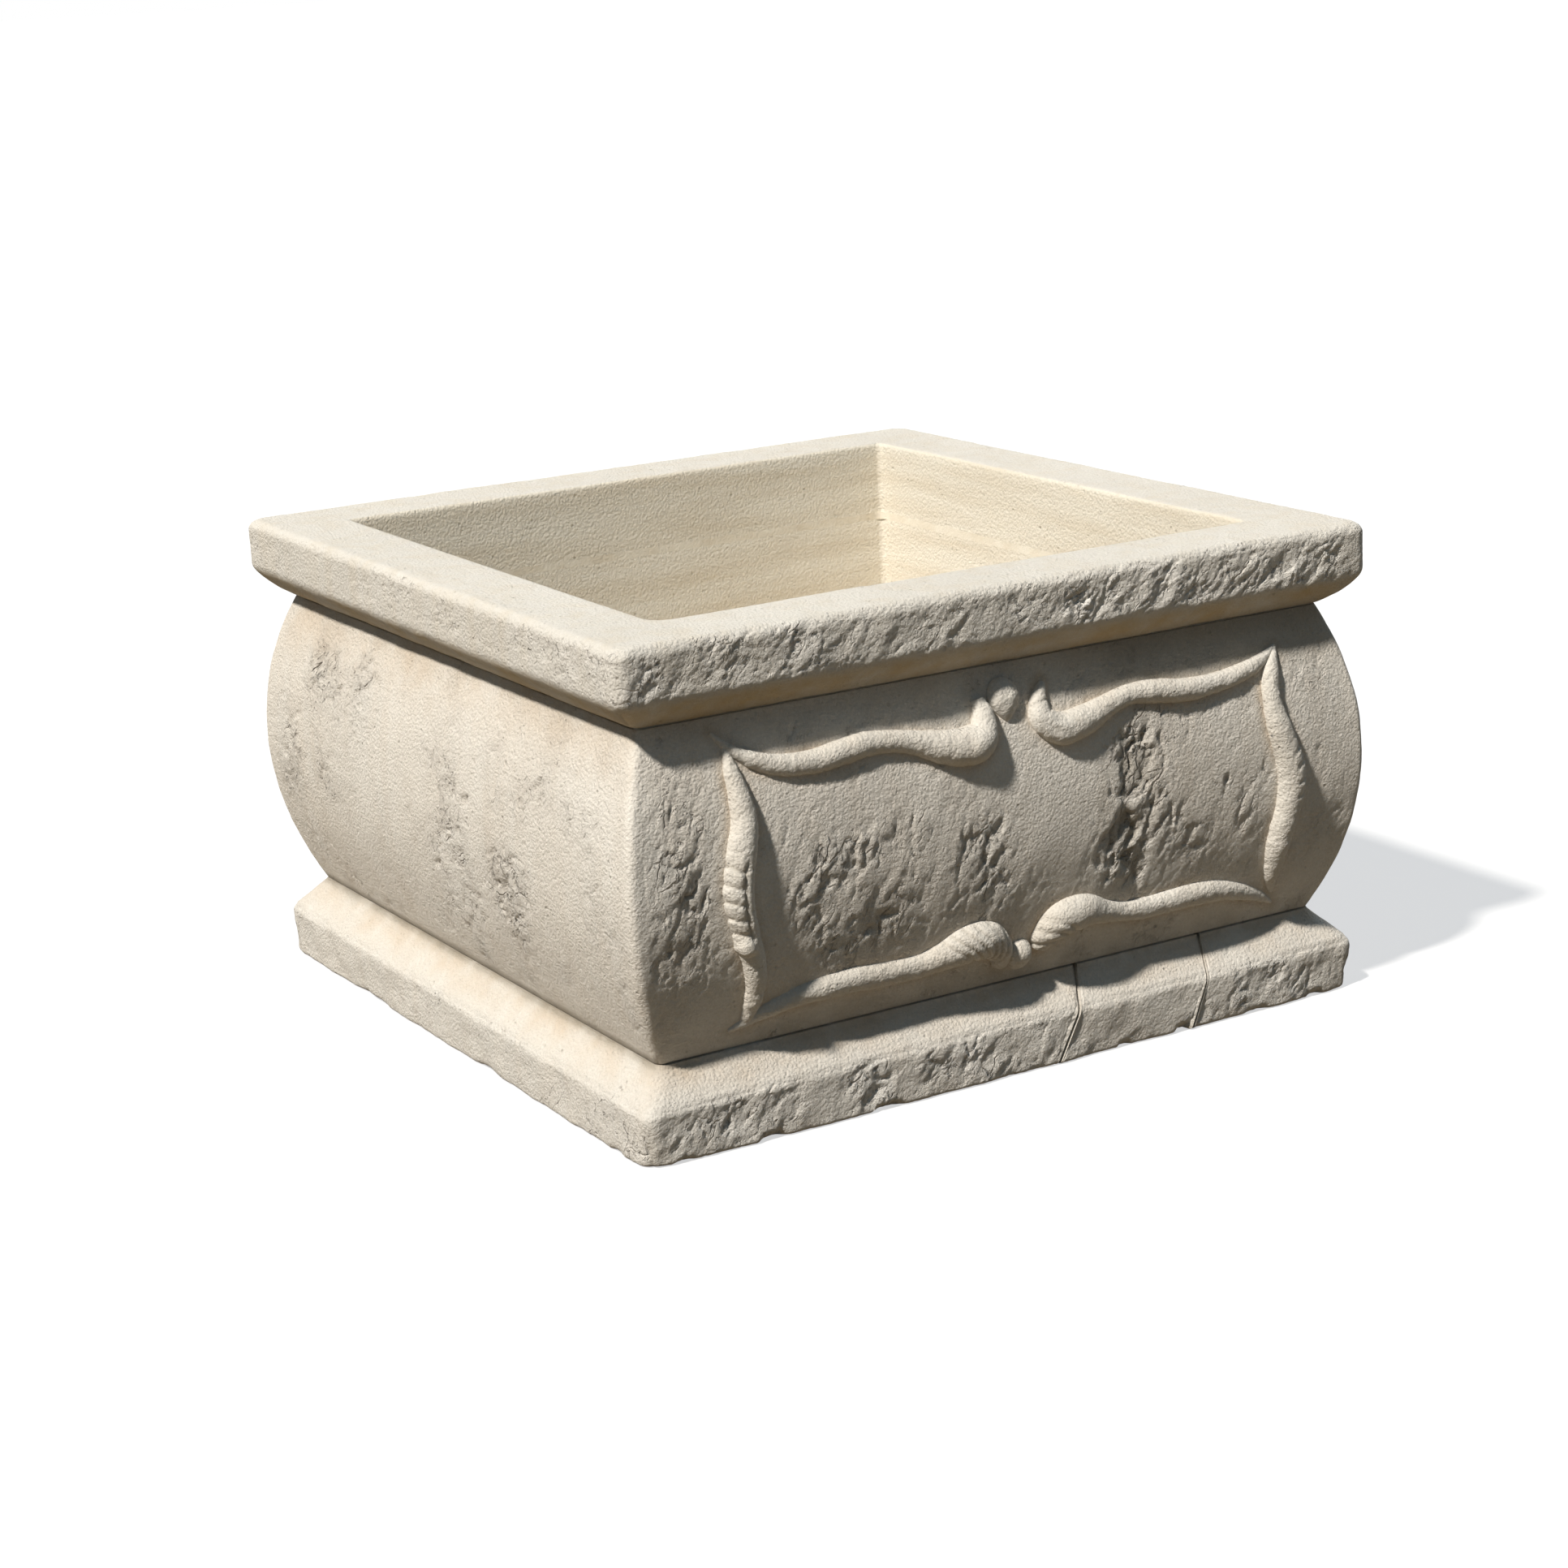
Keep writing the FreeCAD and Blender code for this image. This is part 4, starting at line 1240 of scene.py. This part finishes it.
def makeScroll(name, seed):
    # Round-topped section carried along the middle line: across the line by the half width, up from the wall
    # by the crown, and down into it by the bed.
    line, steady = smoothLine(scrolls[name], scrolls["step"])
    x, height, half = line.T
    place, outward = onWall(x, height)
    forward = np.gradient(place, axis=0)
    forward = forward / np.linalg.norm(forward, axis=1, keepdims=True)
    aside = np.cross(outward, forward)
    if aside[len(aside) // 2, 0] + aside[len(aside) // 2, 2] < 0:
        aside = -aside
    angle = np.linspace(0, 2 * math.pi, scrolls["round"], endpoint=False)
    share = steady / steady[-1]
    across = np.cos(angle)
    rise = np.maximum(np.sin(angle), 0.0)
    sink = np.minimum(np.sin(angle), 0.0)
    lift = scrolls["relief"] * half[:, None] * rise + scrolls["bed"] * sink * ease(0, 4, half)[:, None]
    wide = half[:, None] * across
    grid = place[:, None] + wide[..., None] * aside[:, None] + lift[..., None] * outward[:, None]
    hollow = np.zeros(wide.shape)
    for start, end, count, slant, deep, hand in scrolls["scales"][name]:
        phase = (share[:, None] + slant * wide / steady[-1] - start) / (end - start) * count
        saw = (phase % 1) ** 3 * ease(1.0, 0.9, phase % 1)
        within = ease(-0.2, 0.2, phase) * ease(count + 0.2, count - 0.2, phase)
        cutHalf = 1.0 if hand == 0 else ease(-0.1, 0.1, hand * across)[None]
        hollow = hollow + 1.5 * deep * saw * within * cutHalf
    for start, end, middle, thick, deep in scrolls["grooves"].get(name, []):
        within = ease(start, start + 0.06, share) * ease(end, end - 0.06, share)
        hollow = hollow + deep * within[:, None] * np.exp(-((across - middle) / thick) ** 2)
    lump = np.zeros(wide.shape)
    for at, middle, radius, tall in scrolls["lumps"].get(name, []):
        away = np.hypot((share - at)[:, None] * steady[-1], wide - middle * half[:, None])
        lump = lump + tall * np.exp(-(away / radius) ** 4)
    upright = grid[..., [0, 2, 1]]
    skin = layeredNoise(upright / scrolls["peelLength"] + np.array([0, 0, seed]), 2)
    uneven = layeredNoise(upright / scrolls["unevenLength"] + np.array([0, 0, seed]), 2)
    depth = hollow - lump + scrolls["peel"] * skin + scrolls["unevenness"] * uneven
    depth = depth * (rise > 0) * ease(1.0, 5.0, half)[:, None]
    normals = gridNormals(grid, False)
    mid = len(grid) // 2
    side = np.sign((normals[mid, scrolls["round"] // 4] * outward[mid]).sum())
    grid = grid - depth[..., None] * normals * side
    rows, count = wide.shape
    points = np.concatenate([grid.reshape(-1, 3), place[[0, -1]]])
    faces = tubeFaces(rows, count)
    if side < 0:
        faces = [part[:, ::-1] for part in faces]
    marks = {
        "hollow": np.concatenate([ease(0.5, 2.5, hollow).ravel(), np.zeros(2)]),
        "stain": np.zeros(len(points)),
        "rough": np.zeros(len(points)),
    }
    putFrontAndBack(name + "_scroll", points, faces, marks)


dropGrid = (40, 36)                     # rows, and points round the section
drops = {
    "bead": {"x": -3.0, "height": 268.0, "wide": 12.5, "above": 13.0, "below": 16.0, "relief": 8.5},
    "drop": {"x": 5.5, "height": 84.0, "wide": 10.0, "above": 11.0, "below": 14.0, "relief": 10.5},
}


def makeDrop(name, seed):
    # Petal with a round head and a pointed foot: rows run from the head to the point, and the half width is a
    # quarter ellipse above the middle and a tapering curve below it.
    size = drops[name]
    rows, count = dropGrid
    v = np.linspace(0, 1, rows + 2)[1:-1]
    along = np.interp(v, [0, 0.5, 1], [size["above"], 0, -size["below"]])
    below = np.clip(-along / size["below"], 0, 1)
    above = np.clip(along / size["above"], 0, 1)
    half = size["wide"] * np.sqrt(1 - above ** 2) * (1 - below ** 1.7) ** 0.9
    angle = np.linspace(0, 2 * math.pi, count, endpoint=False)
    place, outward = onWall(np.full(rows, size["x"]), size["height"] + along)
    share = half / size["wide"]
    lift = np.where(np.sin(angle) > 0, size["relief"] * share[:, None], scrolls["bed"] * share[:, None])
    lift = lift * np.sin(angle)
    wide = half[:, None] * np.cos(angle)
    grid = place[:, None] + spread(wide, 0 * wide, 0 * wide) + lift[..., None] * outward[:, None]
    lumps = layeredNoise(grid / 8 + seed, 3)
    grid = grid - (0.7 * lumps * share[:, None])[..., None] * outward[:, None] * (np.sin(angle) > 0)[:, None]
    ends, _ = onWall(np.full(2, size["x"]), size["height"] + np.array([size["above"], -size["below"]]))
    points = np.concatenate([grid.reshape(-1, 3), ends])
    marks = {mark: np.zeros(len(points)) for mark in ("hollow", "stain", "rough")}
    putFrontAndBack(name, points, tubeFaces(rows, count), marks)


for seed, name in enumerate(scrolls["scales"]):
    makeScroll(name, 5.3 * seed)
for seed, name in enumerate(drops):
    makeDrop(name, 3.9 * seed)


# Finishes of the CAD pieces that show as they are

def plainMaterial(name, colour, dark, scale, roughness, metallic, bump):
    # one colour broken up by noise, with a fine bump
    material, tree, shader, place = newMaterial(name)
    cloud = noiseValue(tree, place, scale, 6.0)
    colour = blendColour(tree, mapRange(tree, cloud, 0.35, 0.7), opaque(colour), opaque(dark))
    fine = noiseValue(tree, place, 14 * scale)
    tree.links.new(colour, shader.inputs["Base Color"])
    tree.links.new(bumpOver(tree, fine, bump, sunk=False), shader.inputs["Normal"])
    shader.inputs["Roughness"].default_value = roughness
    shader.inputs["Metallic"].default_value = metallic
    return material


# the flush mortar inside takes the lining's colours, painted bounce light included
bedFinish = plainMaterial("flush_mortar", stoneLook["lining"], stoneLook["liningDark"], 40, 0.95, 0.0, 0.0006)
mortarFinish = plainMaterial("lime_mortar", (0.65, 0.60, 0.52), (0.58, 0.52, 0.43), 40, 0.95, 0.0, 0.0006)
dowelFinish = plainMaterial("dowel_steel", (0.55, 0.55, 0.54), (0.38, 0.37, 0.36), 90, 0.42, 1.0, 0.0001)
pipeFinish = plainMaterial("drain_pipe", (0.20, 0.20, 0.21), (0.14, 0.13, 0.12), 30, 0.55, 0.0, 0.0002)
keptFinishes = {
    "plinth_joint_mortar": mortarFinish,
    "belly_bed_mortar": mortarFinish,
    "coping_bed_mortar": bedFinish,
    "plinth_dowels": dowelFinish,
    "coping_dowels": dowelFinish,
    "ornament_pins": dowelFinish,
    "drain_pipe": pipeFinish,
}
for node, finish in keptFinishes.items():
    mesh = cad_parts[node].data
    mesh.materials.clear()
    mesh.materials.append(finish)
print("planter: finishes on", len(keptFinishes), "CAD nodes")


# Floor, light and camera

studio = {
    "floorHalf": 30.0,                          # metres
    "floorSeen": (0.94, 0.94, 0.94),
    "floorBounce": (0.13, 0.095, 0.05),
    "floorGlow": 0.6,                           # share of the seen floor that is plain white
    "sunTo": (-0.60, -0.195, 0.776),            # towards the light
    "sunStrength": 4.72,
    "sunSpread": 4.0,                           # degrees
    "sunColour": (1.0, 0.955, 0.89),
    "fillTo": (0.6, 0.62, 0.5),
    "fillStrength": 0.9,
    "fillSpread": 40.0,
    "fillColour": (0.95, 0.97, 1.0),
    "skyColour": (0.43, 0.73, 1.0),
    "skyStrength": 0.15,
}


def seenDirectly(tree, *kinds):
    # 1 for rays of these kinds, 0 for the light that falls on the planter
    ray = addNode(tree, "ShaderNodeLightPath")
    sight = ray.outputs[kinds[0]]
    for kind in kinds[1:]:
        inputs = {0: sight, 1: ray.outputs[kind]}
        sight = addNode(tree, "ShaderNodeMath", inputs, operation="MAXIMUM").outputs[0]
    return sight


def makeFloor():
    half = studio["floorHalf"]
    corners = [(-half, -half, 0), (half, -half, 0), (half, half, 0), (-half, half, 0)]
    mesh = bpy.data.meshes.new("floor")
    mesh.from_pydata(corners, [], [(0, 1, 2, 3)])
    floor = bpy.data.objects.new("floor", mesh)
    bpy.context.scene.collection.objects.link(floor)
    floor.location.z = -0.0004                   # just clear of the slabs' undersides
    material = bpy.data.materials.new("pale_floor")
    material.use_nodes = True
    tree = material.node_tree
    tree.nodes.clear()
    seen = addNode(tree, "ShaderNodeBsdfDiffuse", {"Color": opaque(studio["floorSeen"])}).outputs[0]
    glow = addNode(tree, "ShaderNodeEmission", {"Strength": 1.0}).outputs[0]
    seen = addNode(tree, "ShaderNodeMixShader", {0: studio["floorGlow"], 1: seen, 2: glow}).outputs[0]
    bounce = addNode(tree, "ShaderNodeBsdfDiffuse", {"Color": opaque(studio["floorBounce"])}).outputs[0]
    sight = seenDirectly(tree, "Is Camera Ray", "Is Glossy Ray")
    mixed = addNode(tree, "ShaderNodeMixShader", {0: sight, 1: bounce, 2: seen}).outputs[0]
    output = addNode(tree, "ShaderNodeOutputMaterial")
    tree.links.new(mixed, output.inputs["Surface"])
    mesh.materials.append(material)


def makeSun(name, towards, strength, spreadAngle, colour):
    lamp = bpy.data.lights.new(name, "SUN")
    lamp.energy = strength
    lamp.angle = math.radians(spreadAngle)
    lamp.color = colour
    sun = bpy.data.objects.new(name, lamp)
    bpy.context.scene.collection.objects.link(sun)
    back = np.array(towards) / np.linalg.norm(towards)
    right = np.cross((0, 0, 1), back)
    right = right / np.linalg.norm(right)
    up = np.cross(back, right)
    sun.matrix_world = Matrix(np.stack([right, up, back], -1).tolist()).to_4x4()


def makeSky():
    world = bpy.data.worlds.new("studio")
    bpy.context.scene.world = world
    world.use_nodes = True
    tree = world.node_tree
    tree.nodes.clear()
    inputs = {"Color": opaque(studio["skyColour"]), "Strength": studio["skyStrength"]}
    sky = addNode(tree, "ShaderNodeBackground", inputs).outputs[0]
    white = addNode(tree, "ShaderNodeBackground", {"Color": (1, 1, 1, 1), "Strength": 1.0}).outputs[0]
    sight = seenDirectly(tree, "Is Camera Ray", "Is Glossy Ray", "Is Transmission Ray")
    mixed = addNode(tree, "ShaderNodeMixShader", {0: sight, 1: sky, 2: white}).outputs[0]
    output = addNode(tree, "ShaderNodeOutputWorld")
    tree.links.new(mixed, output.inputs["Surface"])


photoView = {                   # fitted to the photograph's edges
    "width": 1932.0,            # pixels
    "focal": 3967.0,            # pixels
    "azimuth": -30.34,          # degrees
    "elevation": 15.29,
    "roll": -2.64,
    "aside": -13.75,            # millimetres
    "above": 140.46,
    "distance": 2486.0,
}


def makeCamera():
    # the camera stands on its own axis through the planter's frame, moved aside and up across that axis
    turn = math.radians(photoView["azimuth"])
    rise = math.radians(photoView["elevation"])
    roll = math.radians(photoView["roll"])
    back = np.array([math.sin(turn) * math.cos(rise), -math.cos(turn) * math.cos(rise), math.sin(rise)])
    level = np.array([math.cos(turn), math.sin(turn), 0])
    upright = np.cross(back, level)
    right = math.cos(roll) * level + math.sin(roll) * upright
    up = math.cos(roll) * upright - math.sin(roll) * level
    place = right * photoView["aside"] + up * photoView["above"] + back * photoView["distance"]
    lens = bpy.data.cameras.new("photo_view")
    lens.sensor_width = 36.0
    lens.lens = lens.sensor_width * photoView["focal"] / photoView["width"]
    camera = bpy.data.objects.new("photo_view", lens)
    bpy.context.scene.collection.objects.link(camera)
    pose = Matrix(np.stack([right, up, back], -1).tolist()).to_4x4()
    pose.translation = place * mm
    camera.matrix_world = pose
    bpy.context.scene.camera = camera


makeFloor()
makeSun("key", studio["sunTo"], studio["sunStrength"], studio["sunSpread"], studio["sunColour"])
makeSun("fill", studio["fillTo"], studio["fillStrength"], studio["fillSpread"], studio["fillColour"])
makeSky()
makeCamera()
bpy.context.scene.view_settings.view_transform = "Standard"
print("planter: floor, light and camera set")
